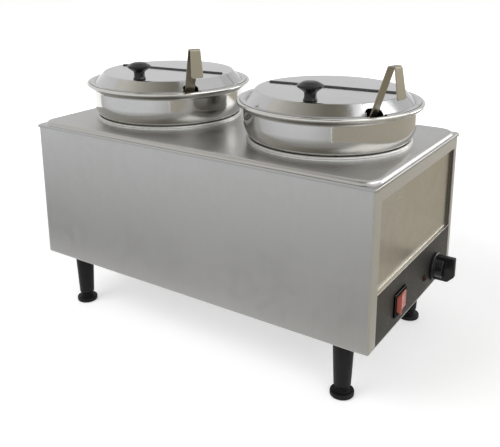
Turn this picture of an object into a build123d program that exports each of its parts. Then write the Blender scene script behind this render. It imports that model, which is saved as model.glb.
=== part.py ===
from build123d import *
import math
import os

# A two-well countertop topping warmer: a stainless casing on four tapered legs, two water
# wells let into a pressed deck, a spun inset in each well, a lid in two hinged halves on each
# inset and a ladle hooked through each lid's notch. Heaters and controls lie under the wells.
# Millimetres, +Z up, +X along the length towards the control end, -Y towards the server.

# ---- casing: a folded wrap with its bottom edge turned in
casing_depth = 304.8
casing_height = 215.9
sheet = 1.0
bend_radius = 3.0
bottom_flange = 12.0

# ---- pressed deck that caps the casing
deck_sheet = 1.2
deck_overhang = 2.5
deck_hem = 4.0
deck_flange = 3.5
deck_rise = 5.5
deck_shoulder = 4.2
deck_corner = 24.0

# ---- window in the control end: recessed panel above, black plate below
window_front_frame = 21.0
window_rear_frame = 12.0
window_top_frame = 21.9
panel_recess = 8.0
plate_height = 69.8
plate_sheet = 1.5
plate_return = 12.0

# ---- base pan and legs
base_sheet = 1.2
base_upturn = 9.0
vent_length = 50.0
vent_width = 6.0
vent_pitch = 24.0
vent_rows = 5
leg_height = 88.9
leg_inset_x = 47.75
leg_inset_y = 32.4
leg_top_radius = 14.8
leg_end_radius = 11.6
leg_chamfer = 4.0
foot_neck_radius = 9.4
foot_neck_height = 5.0
foot_disc_radius = 16.3
foot_disc_height = 7.0
foot_edge_radius = 1.6
foot_stud_radius = 4.0
foot_stud_length = 36.0
foot_travel = 20.0
leg_stud_radius = 4.0
leg_stud_length = 13.0
nut_height = 5.0
nut_across_flats = 13.0

# ---- water wells
well_pitch = 292.0
well_end_room = 7.5
well_shift_y = 3.0
well_bore = 215.9
well_depth = 163.4
well_bead_radius = 2.5
well_bead_reach = 6.55
well_flare = 3.0

# ---- insets, spun with a bulged upper part and a rolled rim
inset_clearance = 3.15
inset_depth = 182.0
inset_corner = 12.0
belly_bulge = 16.7
belly_fillet = 24.0
shoulder_angle = 41.4
belly_top = 47.0
rim_flare = 9.5
rim_bead_radius = 3.0
rim_rise = 54.6

# ---- lids, each a fixed rear half and a lifting front flap
lid_turn = 6.0
lid_lap = 2.0
lid_flange_width = 5.5
lid_step_width = 2.0
lid_step_drop = 2.5
lid_slope_width = 14.5
lid_rise = 13.4
lid_split_y = 6.0
split_gap = 1.2
notch_azimuth = -34.0
notch_width = 25.0
notch_height = 8.0
notch_corner = 7.0

# ---- lid hinge: five knuckles on one pin
knuckle_count = 5
barrel_end_gap = 8.0
barrel_radius = 2.2
barrel_clearance = 0.4
pin_radius = 1.2
pin_fit = 0.05

# ---- lid knob
knob_edge_gap = 14.0
knob_x = 8.0
knob_cap_radius = 17.5
knob_cap_edge = 5.0
knob_cap_drop = 50.0
knob_height = 26.0
knob_cap_height = 18.0
knob_waist_radius = 8.0
knob_waist_height = 11.0
knob_base_radius = 10.0
knob_base_height = 4.0
knob_screw_radius = 2.4
knob_screw_head = 5.0
knob_screw_depth = 14.0

# ---- ladles, a folded strip handle and a deep round bowl
ladle_azimuth = -35.0
ladle_rim_gap = 10.0
ladle_rim_rise = 5.0
ladle_lean = 20.0
ladle_turns = {"left": -35.0, "right": -13.0}
strip_width = 15.0
strip_sheet = 2.0
ladle_top = 59.0
fold_radius = 4.0
hook_lean = 10.0
hook_length = 36.0
hook_width = 18.0
bowl_radius = 27.0
bowl_depth = 22.0
bowl_sheet = 0.9

# ---- heating
heater_margin = 21.0
heater_width = 43.0
heater_thickness = 8.0
heater_tab = 6.0
clamp_margin = 11.0
clamp_width = 22.0
clamp_sheet = 3.0
well_stud_radius = 3.0
insulation_thickness = 14.0
insulation_height = 140.0
bulb_radius = 3.8
bulb_length = 66.0
capillary_radius = 1.0
capillary_bend = 3.5
capillary_lead = 12.0

# ---- thermostat
dial_from_rear = 60.4
dial_height = 28.0
dial_skirt_radius = 21.0
dial_skirt = 5.5
dial_hub_radius = 15.0
dial_hub = 12.0
dial_bar = 38.0
dial_bar_thickness = 10.0
dial_reach = 31.5
dial_chamfer = 9.0
dial_skirt_chamfer = 1.5
dial_bar_round = 2.0
shaft_radius = 3.0
shaft_flat = 2.2
thermostat_width = 36.0
thermostat_deep = 28.0
thermostat_chamfer = 3.0
thermostat_bore = 10.0
shaft_inside = 9.0
bush_radius = 4.9

# ---- rocker switch and pilot lamp
switch_from_front = 75.4
switch_height = 31.9
bezel_long = 38.0
bezel_tall = 33.0
bezel_proud = 3.0
bezel_chamfer = 1.0
switch_long = 34.0
switch_tall = 29.0
switch_deep = 24.0
paddle_long = 28.0
paddle_tall = 24.0
paddle_room = 0.5
rocker_tilt = 10.0
paddle_end = 5.5
paddle_middle = 3.5
paddle_back = 5.0
paddle_taper = 3.0
pivot_proud = 1.2
pivot_radius = 1.5
pivot_reach = 1.5
pivot_hole = 2.0
lamp_from_rear = 100.4
lamp_height = 25.0
lamp_radius = 4.8
lamp_proud = 4.5
lamp_body_radius = 4.0
lamp_deep = 20.0

# ---- cord entry at the rear
gland_x = 232.0
gland_height = 34.0
gland_thread_radius = 7.5
gland_body_radius = 10.5
gland_length = 16.0
gland_bore_radius = 3.6
gland_dome_step = 2.5
gland_thread_end = 2.0
terminal_size = (34.0, 18.0, 20.0)
terminal_ways = 3
terminal_bore = 2.2
terminal_bore_depth = 5.0

# ---- fastenings
screw_radius = 2.0
screw_head_radius = 3.5
screw_head = 2.0
screw_edge = 8.0
screw_grip = 5.0
casing_screw_pitch = 200.0
control_screw_pitch = 176.0

# ---- clearances
seat_gap = 0.3
running_gap = 0.3
hole_gap = 0.2

# ---- heights above the counter and outlines worked out from the sizes above
well_radius = well_bore / 2
well_outer = well_radius + sheet
blanket_outer = well_outer + seat_gap + insulation_thickness
casing_length = well_pitch + 2 * (blanket_outer + well_end_room + panel_recess + sheet)
z_casing = leg_height
z_edge = z_casing + casing_height
z_deck = z_edge + deck_rise
z_base = z_casing + sheet
z_plate = z_base + base_sheet
z_shelf = z_plate + plate_height
face_x = casing_length / 2
inner_x = face_x - sheet
rear_y = casing_depth / 2
window_y0 = -rear_y + window_front_frame
window_y1 = rear_y - window_rear_frame
window_z1 = z_edge - window_top_frame
z_well = z_deck - well_depth
bead_major = well_radius + well_bead_reach
z_bead = z_deck + well_bead_radius
well_centres = {"left": (-well_pitch / 2, well_shift_y), "right": (well_pitch / 2, well_shift_y)}
inset_radius = well_radius - inset_clearance
belly_radius = inset_radius + belly_bulge
rim_major = belly_radius + rim_flare - rim_bead_radius
z_rim = z_deck + rim_rise
z_inset = z_rim + rim_bead_radius - inset_depth
lid_edge_radius = rim_major - lid_lap
lid_step_radius = lid_edge_radius - lid_flange_width
lid_foot_radius = lid_step_radius - lid_step_width
lid_top_radius = lid_foot_radius - lid_slope_width
z_lid = z_rim + math.sqrt((rim_bead_radius + seat_gap) ** 2 - lid_lap ** 2)
z_hinge = z_lid + sheet + lid_rise
barrel_length = 2 * (lid_top_radius - barrel_end_gap)
knob_y = knob_edge_gap - lid_top_radius
ladle_radius = rim_major - ladle_rim_gap
z_ladle = z_rim + ladle_rim_rise
leg_places = {
    "front_left": (-face_x + leg_inset_x, -rear_y + leg_inset_y),
    "front_right": (face_x - leg_inset_x, -rear_y + leg_inset_y),
    "rear_left": (-face_x + leg_inset_x, rear_y - leg_inset_y),
    "rear_right": (face_x - leg_inset_x, rear_y - leg_inset_y),
}
dial_y = window_y1 - dial_from_rear
lamp_y = window_y1 - lamp_from_rear
switch_y = window_y0 + switch_from_front
heater_outer = well_outer - heater_margin
heater_inner = heater_outer - heater_width
z_heater = z_well - heater_thickness
z_clamp = z_heater - clamp_sheet


def block(x0, x1, y0, y1, z0, z1):
    """A box between two corners."""
    centre = Pos((x0 + x1) / 2, (y0 + y1) / 2, (z0 + z1) / 2)
    return centre * Box(abs(x1 - x0), abs(y1 - y0), abs(z1 - z0))


def post(x, y, z0, z1, radius):
    """An upright round bar between two heights."""
    return Pos(x, y, (z0 + z1) / 2) * Cylinder(radius, z1 - z0)


def bar_x(y, z, x0, x1, radius):
    """A round bar along X."""
    return Pos((x0 + x1) / 2, y, z) * Rot(0, 90, 0) * Cylinder(radius, x1 - x0)


def rounded_slab(length, depth, corner, z0, z1):
    """An upright slab with a rounded rectangular plan."""
    return Pos(0, 0, z0) * extrude(RectangleRounded(length, depth, corner), z1 - z0)


def spun(profile):
    """A profile drawn as radius and height, turned about Z."""
    return revolve(Plane.XZ * profile, Axis.Z)


def sheet_profile(line, thickness, side):
    """The section of a sheet whose one face follows a line."""
    edges = offset(line, amount=thickness, side=side, kind=Kind.INTERSECTION).edges()
    return make_face(edges)


def hex_nuts(places, z, bore):
    """Hexagon nuts standing at one height."""
    outline = RegularPolygon(nut_across_flats / 2, 6, major_radius=False) - Circle(bore)
    group = [Pos(x, y, z) * extrude(outline, nut_height) for x, y in places]
    return sum(group[1:], group[0])


# ------------------------------------------------------------------------------- housing
def deck_top():
    """Pressed deck: hem, flat flange, rounded shoulder, raised field with two openings."""
    length = casing_length + 2 * deck_overhang
    depth = casing_depth + 2 * deck_overhang
    corner = bend_radius + deck_overhang
    skirt = rounded_slab(length, depth, corner, z_edge - deck_hem, z_edge)
    inside = 2 * deck_sheet
    skirt -= rounded_slab(length - inside, depth - inside, corner - deck_sheet,
                          z_edge - deck_hem, z_edge - deck_sheet)
    field_length = length - 2 * deck_flange
    field_depth = depth - 2 * deck_flange
    field = rounded_slab(field_length, field_depth, deck_corner, z_edge - deck_sheet, z_deck)
    field = fillet(field.faces().sort_by(Axis.Z)[-1].edges(), deck_shoulder)
    hollow = rounded_slab(field_length - inside, field_depth - inside, deck_corner - deck_sheet,
                          z_edge - 2 * deck_sheet, z_deck - deck_sheet)
    hollow = fillet(hollow.faces().sort_by(Axis.Z)[-1].edges(), deck_shoulder - deck_sheet)
    deck = skirt + field - hollow
    for x, y in well_centres.values():
        opening = well_outer + well_flare + hole_gap
        deck -= post(x, y, z_edge - deck_hem, z_deck + deck_rise, opening)
    return deck


def outer_casing():
    """Folded wrap: four walls, the bottom edge turned in, a window in the control end."""
    top = z_edge - deck_sheet
    wrap = rounded_slab(casing_length, casing_depth, bend_radius, z_casing, top)
    wrap -= rounded_slab(casing_length - 2 * sheet, casing_depth - 2 * sheet,
                         bend_radius - sheet, z_base, top)
    wrap -= block(-face_x + bottom_flange, face_x - bottom_flange,
                  -rear_y + bottom_flange, rear_y - bottom_flange, z_casing, z_base)
    wrap -= block(inner_x, face_x, window_y0, window_y1, z_plate, window_z1)
    for x, y in casing_screw_places():
        wrap -= post(x, y, z_casing, z_base, screw_radius + hole_gap)
    for x, y in control_screw_places():
        wrap -= post(x, y, z_casing, z_base, screw_radius + hole_gap)
    gland_hole = Pos(gland_x, rear_y, z_casing + gland_height) * Rot(90, 0, 0)
    return wrap - gland_hole * Cylinder(gland_thread_radius + hole_gap, 4 * sheet)


def end_panel():
    """Recessed upper end panel: a tray whose returns reach the casing, with a bright shelf."""
    back = inner_x - panel_recess
    tray = block(back, inner_x, window_y0 - sheet, window_y1 + sheet, z_shelf, window_z1 + sheet)
    tray -= block(back + sheet, inner_x, window_y0, window_y1, z_shelf + sheet, window_z1)
    shelf = block(inner_x, face_x, window_y0 + hole_gap, window_y1 - hole_gap,
                  z_shelf, z_shelf + sheet)
    return tray + shelf


def control_plate():
    """Black lower end plate: a flush face with a return along its top and its bottom."""
    y0 = window_y0 + hole_gap
    y1 = window_y1 - hole_gap
    plate = block(face_x - plate_return, face_x, y0, y1, z_plate, z_shelf)
    plate -= block(face_x - plate_return, face_x - plate_sheet, y0, y1,
                   z_plate + plate_sheet, z_shelf - plate_sheet)
    back = face_x - plate_sheet
    plate -= bar_x(dial_y, z_casing + dial_height, back, face_x, bush_radius + hole_gap)
    plate -= bar_x(lamp_y, z_casing + lamp_height, back, face_x, lamp_body_radius + hole_gap)
    z_switch = z_casing + switch_height
    half_long = switch_long / 2 + hole_gap
    half_tall = switch_tall / 2 + hole_gap
    plate -= block(back, face_x, switch_y - half_long, switch_y + half_long,
                   z_switch - half_tall, z_switch + half_tall)
    for x, y in control_screw_places():
        plate -= post(x, y, z_plate, z_plate + plate_sheet, screw_radius)
    return plate


def base_pan():
    """Base sheet on the casing's turned-in edge, with upturned sides and vent slots."""
    half_x = inner_x - hole_gap
    half_y = rear_y - sheet - hole_gap
    pan = block(-half_x, half_x, -half_y, half_y, z_base, z_base + base_upturn)
    pan -= block(-half_x + base_sheet, half_x, -half_y + base_sheet, half_y - base_sheet,
                 z_plate, z_base + base_upturn)
    pan = clip_corners(pan, half_x, half_y)
    pan -= block(half_x - 2 * plate_return, half_x, -half_y, half_y,
                 z_plate, z_base + base_upturn)
    for x, y in leg_places.values():
        pan -= post(x, y, z_base, z_plate, leg_stud_radius + hole_gap)
    for x, y in casing_screw_places() + control_screw_places():
        pan -= post(x, y, z_base, z_plate, screw_radius)
    slot = extrude(SlotOverall(vent_length, vent_width), base_sheet)
    for x, y in well_centres.values():
        for row in range(vent_rows):
            pan -= Pos(x, y + (row - (vent_rows - 1) / 2) * vent_pitch, z_base) * slot
    return pan


def clip_corners(pan, half_x, half_y):
    """Cut the pan's four corners square so that they pass the casing's bends."""
    cut = bend_radius + sheet
    for side_x in (-1, 1):
        for side_y in (-1, 1):
            pan -= block(side_x * half_x, side_x * (half_x - cut), side_y * half_y,
                         side_y * (half_y - cut), z_base, z_base + base_upturn)
    return pan


def casing_screw_places():
    """Six screws along the front and rear turned-in edges."""
    y = rear_y - screw_edge
    return [(i * casing_screw_pitch, side * y) for i in (-1, 0, 1) for side in (-1, 1)]


def control_screw_places():
    """Two screws that hold the control plate down, under the end."""
    x = face_x - screw_edge
    return [(x, side * control_screw_pitch / 2 + window_shift()) for side in (-1, 1)]


def window_shift():
    """The window's middle, a little behind the casing's."""
    return (window_y0 + window_y1) / 2


def screws(places, grip):
    """Pan-head screws driven up from under the casing."""
    group = []
    for x, y in places:
        head = post(x, y, z_casing - screw_head, z_casing, screw_head_radius)
        group.append(head + post(x, y, z_casing, z_casing + grip, screw_radius))
    return sum(group[1:], group[0])


# ---------------------------------------------------------------------------- legs, feet
def leg(x, y):
    """Tapered leg with a moulded-in stud above and a tapped bore for the foot below."""
    z_end = foot_disc_height + foot_neck_height
    outline = Polyline(
        (0, z_base), (leg_top_radius, z_base), (leg_end_radius, z_end + leg_chamfer),
        (foot_neck_radius, z_end), (0, z_end), close=True)
    body = spun(make_face(outline))
    bore_top = z_end + foot_stud_length + running_gap
    body -= post(0, 0, z_end, bore_top, foot_stud_radius + running_gap)
    body += post(0, 0, z_base, z_base + leg_stud_length, leg_stud_radius)
    return Pos(x, y, 0) * body


def foot(x, y):
    """Levelling foot: a rounded disc, a neck and a stud up into the leg."""
    disc = post(0, 0, 0, foot_disc_height, foot_disc_radius)
    disc = fillet(disc.edges(), foot_edge_radius)
    z_neck = foot_disc_height + foot_neck_height
    neck = post(0, 0, foot_disc_height, z_neck, foot_neck_radius)
    stud = post(0, 0, z_neck, z_neck + foot_stud_length, foot_stud_radius)
    return Pos(x, y, 0) * (disc + neck + stud)


# --------------------------------------------------------------------------------- wells
def well(x, y):
    """Water well: a deep drawn pan whose rolled edge lies on the deck, with a clamp stud."""
    line = Polyline((0, z_well), (well_outer, z_well), (well_outer, z_deck - well_flare),
                    (well_outer + well_flare, z_deck), (bead_major - sheet, z_deck))
    profile = sheet_profile(line, sheet, Side.LEFT)
    profile += Pos(bead_major, z_bead) * Circle(well_bead_radius)
    stud = post(0, 0, z_clamp - nut_height - sheet, z_well, well_stud_radius)
    return Pos(x, y, 0) * (spun(profile) + stud)


def heater(x, y):
    """Flat ring element clamped against the well's underside, with two terminal tabs."""
    ring = Circle(heater_outer) - Circle(heater_inner)
    body = Pos(0, 0, z_heater) * extrude(ring, heater_thickness)
    mid = (heater_inner + heater_outer) / 2
    tab = clamp_width / 2
    for side in (-1, 1):
        body += block(side * tab, side * (tab - heater_tab), -mid - tab, -mid + tab,
                      z_heater - tab, z_heater)
    return Pos(x, y, 0) * body


def heater_clamp(x, y):
    """Flat bar under the ring element, pulled up by the well's stud."""
    length = 2 * (well_outer - clamp_margin)
    bar = extrude(SlotOverall(length, clamp_width), clamp_sheet)
    bar -= extrude(Circle(well_stud_radius + hole_gap), clamp_sheet)
    return Pos(x, y, z_clamp) * bar


def insulation(x, y):
    """Fibre blanket wrapped round the well."""
    ring = Circle(blanket_outer) - Circle(well_outer + seat_gap)
    return Pos(x, y, z_well) * extrude(ring, insulation_height)


# -------------------------------------------------------------------------------- insets
def inset(x, y):
    """Spun inset: its shoulder rests on the well's rolled edge, above it the bulged belly
    flares out to a rolled rim."""
    slope = math.radians(shoulder_angle)
    stand_off = well_bead_radius + seat_gap
    touch_r = bead_major - stand_off * math.sin(slope)
    touch_z = z_bead + stand_off * math.cos(slope)
    z_neck = touch_z + (inset_radius - touch_r) * math.tan(slope)
    z_belly = touch_z + (belly_radius - touch_r) * math.tan(slope)
    line = FilletPolyline(
        (0, z_inset), (inset_radius - inset_corner, z_inset),
        (inset_radius, z_inset + inset_corner), (inset_radius, z_neck),
        (belly_radius, z_belly), (belly_radius, z_deck + belly_top), (rim_major, z_rim),
        radius=[0, 0, 0, belly_fillet, 0])
    profile = sheet_profile(line, sheet, Side.LEFT)
    profile += Pos(rim_major, z_rim) * Circle(rim_bead_radius)
    return Pos(x, y, 0) * spun(profile)


# ---------------------------------------------------------------------------------- lids
def whole_lid():
    """The lid before it is split: flange, locating step, conical slope, flat top."""
    z_flange = z_lid + sheet
    line = Polyline((0, z_hinge), (lid_top_radius, z_hinge), (lid_foot_radius, z_flange - lid_step_drop),
                    (lid_step_radius, z_flange), (lid_edge_radius, z_flange))
    return spun(sheet_profile(line, sheet, Side.RIGHT))


def knuckles(first):
    """Every second knuckle of the hinge with the leaf that joins it to its half."""
    pitch = barrel_length / knuckle_count
    length = pitch - barrel_clearance
    side = 1 if first == 0 else -1
    edge = barrel_radius + barrel_clearance
    group = []
    for i in range(first, knuckle_count, 2):
        x = -barrel_length / 2 + (i + 0.5) * pitch
        barrel = bar_x(0, 0, x - length / 2, x + length / 2, barrel_radius)
        leaf = block(x - length / 2, x + length / 2, 0, side * edge, -sheet, 0)
        group.append(barrel + leaf - bar_x(0, 0, x - pitch, x + pitch, pin_radius + pin_fit))
    return group


def lid_half(side, first):
    """One half of the lid with its knuckles; side is 1 for the rear and -1 for the front."""
    reach = lid_edge_radius + sheet
    z0 = z_lid - 2 * lid_step_drop
    z1 = z_hinge + barrel_radius
    keep = block(-reach, reach, lid_split_y + side * split_gap / 2, side * 2 * reach, z0, z1)
    half = whole_lid() & keep
    edge = barrel_radius + barrel_clearance
    half_barrel = barrel_length / 2 + barrel_clearance
    half -= block(-half_barrel, half_barrel, lid_split_y, lid_split_y + side * edge, z0, z1)
    for knuckle in knuckles(first):
        half += Pos(0, lid_split_y, z_hinge) * knuckle
    return half


def ladle_notch():
    """Arched notch through the lid's slope and flange, for the ladle's handle."""
    arch = Pos(0, z_lid + notch_height / 2 - notch_corner) * RectangleRounded(
        notch_width, notch_height + 2 * notch_corner, notch_corner)
    reach = lid_edge_radius + sheet
    cutter = extrude(Plane.YZ * arch, reach)
    return Rot(0, 0, notch_azimuth - lid_turn) * cutter


def lid_rear():
    """Fixed rear half with the outer and middle knuckles."""
    return lid_half(1, 0)


def lid_flap():
    """Lifting front half with two knuckles, the ladle notch and the knob's hole."""
    flap = lid_half(-1, 1) - ladle_notch()
    return flap - post(knob_x, knob_y, z_hinge - 2 * sheet, z_hinge, knob_screw_radius + hole_gap)


def hinge_pin():
    """Pin through the five knuckles."""
    half = barrel_length / 2
    return bar_x(lid_split_y, z_hinge, -half, half, pin_radius)


def lid_knob():
    """Mushroom knob: a flared foot, a waist, a conical underside, a rounded edge, a dome."""
    flat = knob_cap_radius - knob_cap_edge
    rise = knob_height - knob_cap_height
    dome = (flat ** 2 + rise ** 2 - knob_cap_edge ** 2) / (2 * (rise - knob_cap_edge))
    z_dome = knob_height - dome
    turn = math.degrees(math.atan2(knob_cap_height - z_dome, flat))
    edge = CenterArc((flat, knob_cap_height), knob_cap_edge, -knob_cap_drop, knob_cap_drop + turn)
    foot = Polyline((0, knob_height), (0, 0), (knob_base_radius, 0),
                    (knob_waist_radius, knob_base_height), (knob_waist_radius, knob_waist_height),
                    edge @ 0)
    top = CenterArc((0, z_dome), dome, turn, 90 - turn)
    body = spun(make_face((foot + edge + top).edges()))
    body -= post(0, 0, 0, knob_screw_depth, knob_screw_radius)
    return Pos(knob_x, knob_y, z_hinge) * body


def knob_screw():
    """Screw up through the flap into the knob."""
    under = z_hinge - sheet
    head = post(knob_x, knob_y, under - screw_head, under, knob_screw_head)
    return head + post(knob_x, knob_y, under, z_hinge + knob_screw_depth, knob_screw_radius)


def on_inset(piece, x, y):
    """Turn a lid piece a little about the well's axis and carry it there."""
    return Pos(x, y, 0) * Rot(0, 0, lid_turn) * piece


# -------------------------------------------------------------------------------- ladles
def bowl_sphere_radius():
    """The sphere whose cap has the bowl's rim radius and depth."""
    return (bowl_radius ** 2 + bowl_depth ** 2) / (2 * bowl_depth)


def bowl_centre():
    """The bowl's sphere centre as reach along the ladle's plane and height, on the floor
    of the inset and beside the line of the handle."""
    lean = math.radians(ladle_lean)
    z = z_inset + sheet + seat_gap + bowl_sphere_radius()
    drop = z_ladle - z
    return (-drop * math.tan(lean) - bowl_radius / math.cos(lean), z)


def ladle_frame(x, y, turn):
    """Places the ladle's own plane in its inset: its X points the way the hook opens."""
    azimuth = math.radians(ladle_azimuth)
    return Pos(x + ladle_radius * math.cos(azimuth), y + ladle_radius * math.sin(azimuth), 0) * \
        Rot(0, 0, turn)


def filled_bowl(radius):
    """A solid cap of the bowl's sphere, in the ladle's plane."""
    s, z = bowl_centre()
    drop = bowl_sphere_radius() - bowl_depth
    below = Pos(0, 0, -drop - radius) * Box(3 * radius, 3 * radius, 2 * radius)
    return Pos(s, 0, z) * Rot(0, ladle_lean, 0) * (Sphere(radius) & below)


def ladle_bowl(x, y, turn):
    """Deep round bowl, open upwards along the handle."""
    outer = filled_bowl(bowl_sphere_radius())
    inner_radius = bowl_sphere_radius() - bowl_sheet
    s, z = bowl_centre()
    inner = Pos(s, 0, z) * Sphere(inner_radius)
    return ladle_frame(x, y, turn) * (outer - inner)


def ladle_handle(x, y, turn):
    """Strip handle: up through the lid's notch at a lean, folded over into a short hook."""
    lean = math.radians(ladle_lean)
    up = Vector(math.sin(lean), math.cos(lean))
    top = up * (ladle_top / math.cos(lean))
    s, z = bowl_centre()
    below = bowl_sphere_radius() / math.cos(lean)
    bottom = up * ((z - below / 2 - z_ladle) / math.cos(lean))
    main = Line(bottom, top)
    sweep_angle = 180 - ladle_lean - hook_lean
    centre = top + Vector(up.Y, -up.X) * fold_radius
    start = 180 - ladle_lean
    fold = CenterArc(centre, fold_radius, start, -sweep_angle)
    strip = Plane.XZ * trace(main + fold, strip_sheet)
    strip = extrude(strip, strip_width / 2, both=True)
    hook_start = fold @ 1
    hook_down = Vector(math.sin(math.radians(hook_lean)), -math.cos(math.radians(hook_lean)))
    hook = Plane.XZ * trace(Line(hook_start, hook_start + hook_down * hook_length), strip_sheet)
    hook = extrude(hook, hook_width / 2, both=True) & hook_outline(hook_start)
    handle = Pos(0, 0, z_ladle) * (strip + hook)
    return ladle_frame(x, y, turn) * (handle - filled_bowl(bowl_sphere_radius()))


def hook_outline(start):
    """The hook's flat outline, widening to a round end, as a block through its sheet."""
    half = strip_width / 2
    end = hook_width / 2
    flank = hook_length - end
    outline = Polyline((-half, 0), (-end, flank), (end, flank), (half, 0), close=True)
    shape = make_face(outline) + Pos(0, flank) * Circle(end)
    lean = math.radians(hook_lean)
    plane = Plane(origin=(start.X, 0, start.Y), x_dir=(0, -1, 0),
                  z_dir=(math.cos(lean), 0, math.sin(lean)))
    return extrude(plane * shape, 2 * strip_sheet, both=True)


# ------------------------------------------------------------------------------ controls
def thermostat_body():
    """Thermostat behind the control plate, with the threaded bush that comes through it."""
    back = face_x - plate_sheet
    z = z_casing + dial_height
    half = thermostat_width / 2
    body = block(back - thermostat_deep, back, dial_y - half, dial_y + half, z - half, z + half)
    body = chamfer(body.edges().filter_by(Axis.X), thermostat_chamfer)
    body += bar_x(dial_y, z, back, face_x, bush_radius)
    return body - bar_x(dial_y, z, back - thermostat_bore, face_x, shaft_radius + pin_fit)


def shaft_bar(x0, x1):
    """The thermostat's shaft, round inside and with a flat where the dial grips it."""
    z = z_casing + dial_height
    bar = bar_x(dial_y, z, x0, x1, shaft_radius)
    return bar - block(face_x + dial_skirt, x1, dial_y + shaft_flat, dial_y + shaft_radius,
                       z - shaft_radius, z + shaft_radius)


def thermostat_shaft():
    """Turning shaft from inside the thermostat into the dial."""
    return shaft_bar(face_x - plate_sheet - shaft_inside, face_x + dial_hub + dial_skirt)


def thermostat_knob():
    """Dial: a round skirt, a hub and a tall grip bar with its outer lower corner cut away."""
    x0 = face_x + running_gap + hole_gap
    z = z_casing + dial_height
    skirt = bar_x(dial_y, z, x0, face_x + dial_skirt, dial_skirt_radius)
    skirt = chamfer(skirt.edges().sort_by(Axis.X)[-1], dial_skirt_chamfer)
    hub = bar_x(dial_y, z, x0, face_x + dial_hub, dial_hub_radius)
    half = dial_bar_thickness / 2
    grip = block(x0, face_x + dial_reach, dial_y - half, dial_y + half,
                 z - dial_bar / 2, z + dial_bar / 2)
    outer = grip.edges().filter_by(Axis.Y).group_by(Axis.X)[-1]
    grip = chamfer(outer.sort_by(Axis.Z)[0], dial_chamfer)
    grip = fillet(grip.edges().filter_by(Axis.X), dial_bar_round)
    knob = skirt + hub + grip
    return knob - shaft_bar(x0, face_x + dial_hub + dial_skirt)


def capillary_bulb():
    """Sensing bulb against the right well's underside. Its tube drops below the clamp bar
    and runs under the well to the thermostat's back."""
    x, y = well_centres["right"]
    bulb_y = y + clamp_width / 2 + bulb_radius
    z = z_well - bulb_radius - hole_gap
    half = bulb_length / 2
    bulb = bar_x(bulb_y, z, x - half, x + half, bulb_radius)
    entry = face_x - plate_sheet - thermostat_deep
    z_entry = z_casing + dial_height + thermostat_width / 4
    z_run = z_clamp - seat_gap - capillary_radius
    turn = x + half + 2 * capillary_bend
    path = FilletPolyline((x + half, bulb_y, z), (turn, bulb_y, z), (turn, bulb_y, z_run),
                          (entry - capillary_lead, dial_y, z_entry), (entry, dial_y, z_entry),
                          radius=capillary_bend)
    section = Plane(origin=path @ 0, z_dir=path % 0) * Circle(capillary_radius)
    return bulb + sweep(section, path=path)


def rocker_pivot():
    """The rocker's pivot point, an upright axis just proud of the plate."""
    return face_x + pivot_proud, switch_y, z_casing + switch_height


def rocker_bezel():
    """Switch housing: a flange on the plate, a deep well behind it and two pivot holes."""
    px, py, pz = rocker_pivot()
    back = face_x - plate_sheet
    flange = block(face_x, face_x + bezel_proud, py - bezel_long / 2, py + bezel_long / 2,
                   pz - bezel_tall / 2, pz + bezel_tall / 2)
    flange = chamfer(flange.faces().sort_by(Axis.X)[-1].edges(), bezel_chamfer)
    body = block(back - switch_deep, face_x, py - switch_long / 2, py + switch_long / 2,
                 pz - switch_tall / 2, pz + switch_tall / 2)
    swing = paddle_long / 2 + 2 * paddle_room
    deep = paddle_back + paddle_long / 2 * math.sin(math.radians(rocker_tilt)) + paddle_room
    cavity = block(px - deep, px + bezel_proud, py - swing, py + swing,
                   pz - paddle_tall / 2 - paddle_room, pz + paddle_tall / 2 + paddle_room)
    reach = paddle_tall / 2 + pivot_hole
    pivots = post(px, py, pz - reach, pz + reach, pivot_radius + pin_fit)
    return flange + body - cavity - pivots


def rocker_paddle():
    """Dished paddle on two short pivots, tilted with its front end out."""
    px, py, pz = rocker_pivot()
    half = paddle_long / 2
    narrow = half - paddle_taper
    outline = Polyline((-paddle_back, -narrow), (paddle_end, -half), (paddle_middle, 0),
                       (paddle_end, half), (-paddle_back, narrow), close=True)
    paddle = extrude(make_face(outline), paddle_tall / 2, both=True)
    paddle += Cylinder(pivot_radius, paddle_tall + 2 * pivot_reach)
    return Pos(px, py, pz) * Rot(0, 0, rocker_tilt) * paddle


def pilot_lamp():
    """Pilot lamp: a domed lens on the plate and its body behind."""
    rim = lamp_proud / 3
    rise = lamp_proud - rim
    ball = (lamp_radius ** 2 + rise ** 2) / (2 * rise)
    half_angle = math.asin(lamp_radius / ball) / 2
    middle = (ball * math.sin(half_angle), lamp_proud - ball + ball * math.cos(half_angle))
    back = -plate_sheet - lamp_deep
    outline = Polyline((0, lamp_proud), (0, back), (lamp_body_radius, back), (lamp_body_radius, 0),
                       (lamp_radius, 0), (lamp_radius, rim))
    outline += ThreePointArc((lamp_radius, rim), middle, (0, lamp_proud))
    lamp = spun(make_face(outline.edges()))
    return Pos(face_x, lamp_y, z_casing + lamp_height) * Rot(0, 90, 0) * lamp


# ------------------------------------------------------------------------ supply entrance
def along_y(x, z, y0, y1, radius):
    """A round bar along Y."""
    return Pos(x, (y0 + y1) / 2, z) * Rot(90, 0, 0) * Cylinder(radius, y1 - y0)


def cord_gland():
    """Cord gland in the rear wall, its bore open for the supply cord."""
    z = z_casing + gland_height
    inside = rear_y - sheet - nut_height - gland_thread_end
    flange = along_y(gland_x, z, rear_y, rear_y + gland_length / 3, gland_body_radius)
    dome = along_y(gland_x, z, rear_y, rear_y + gland_length, gland_body_radius - gland_dome_step)
    dome = chamfer(dome.edges().group_by(Axis.Y)[-1], gland_dome_step)
    thread = along_y(gland_x, z, inside, rear_y, gland_thread_radius)
    bore = along_y(gland_x, z, inside, rear_y + gland_length, gland_bore_radius)
    return flange + dome + thread - bore


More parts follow.
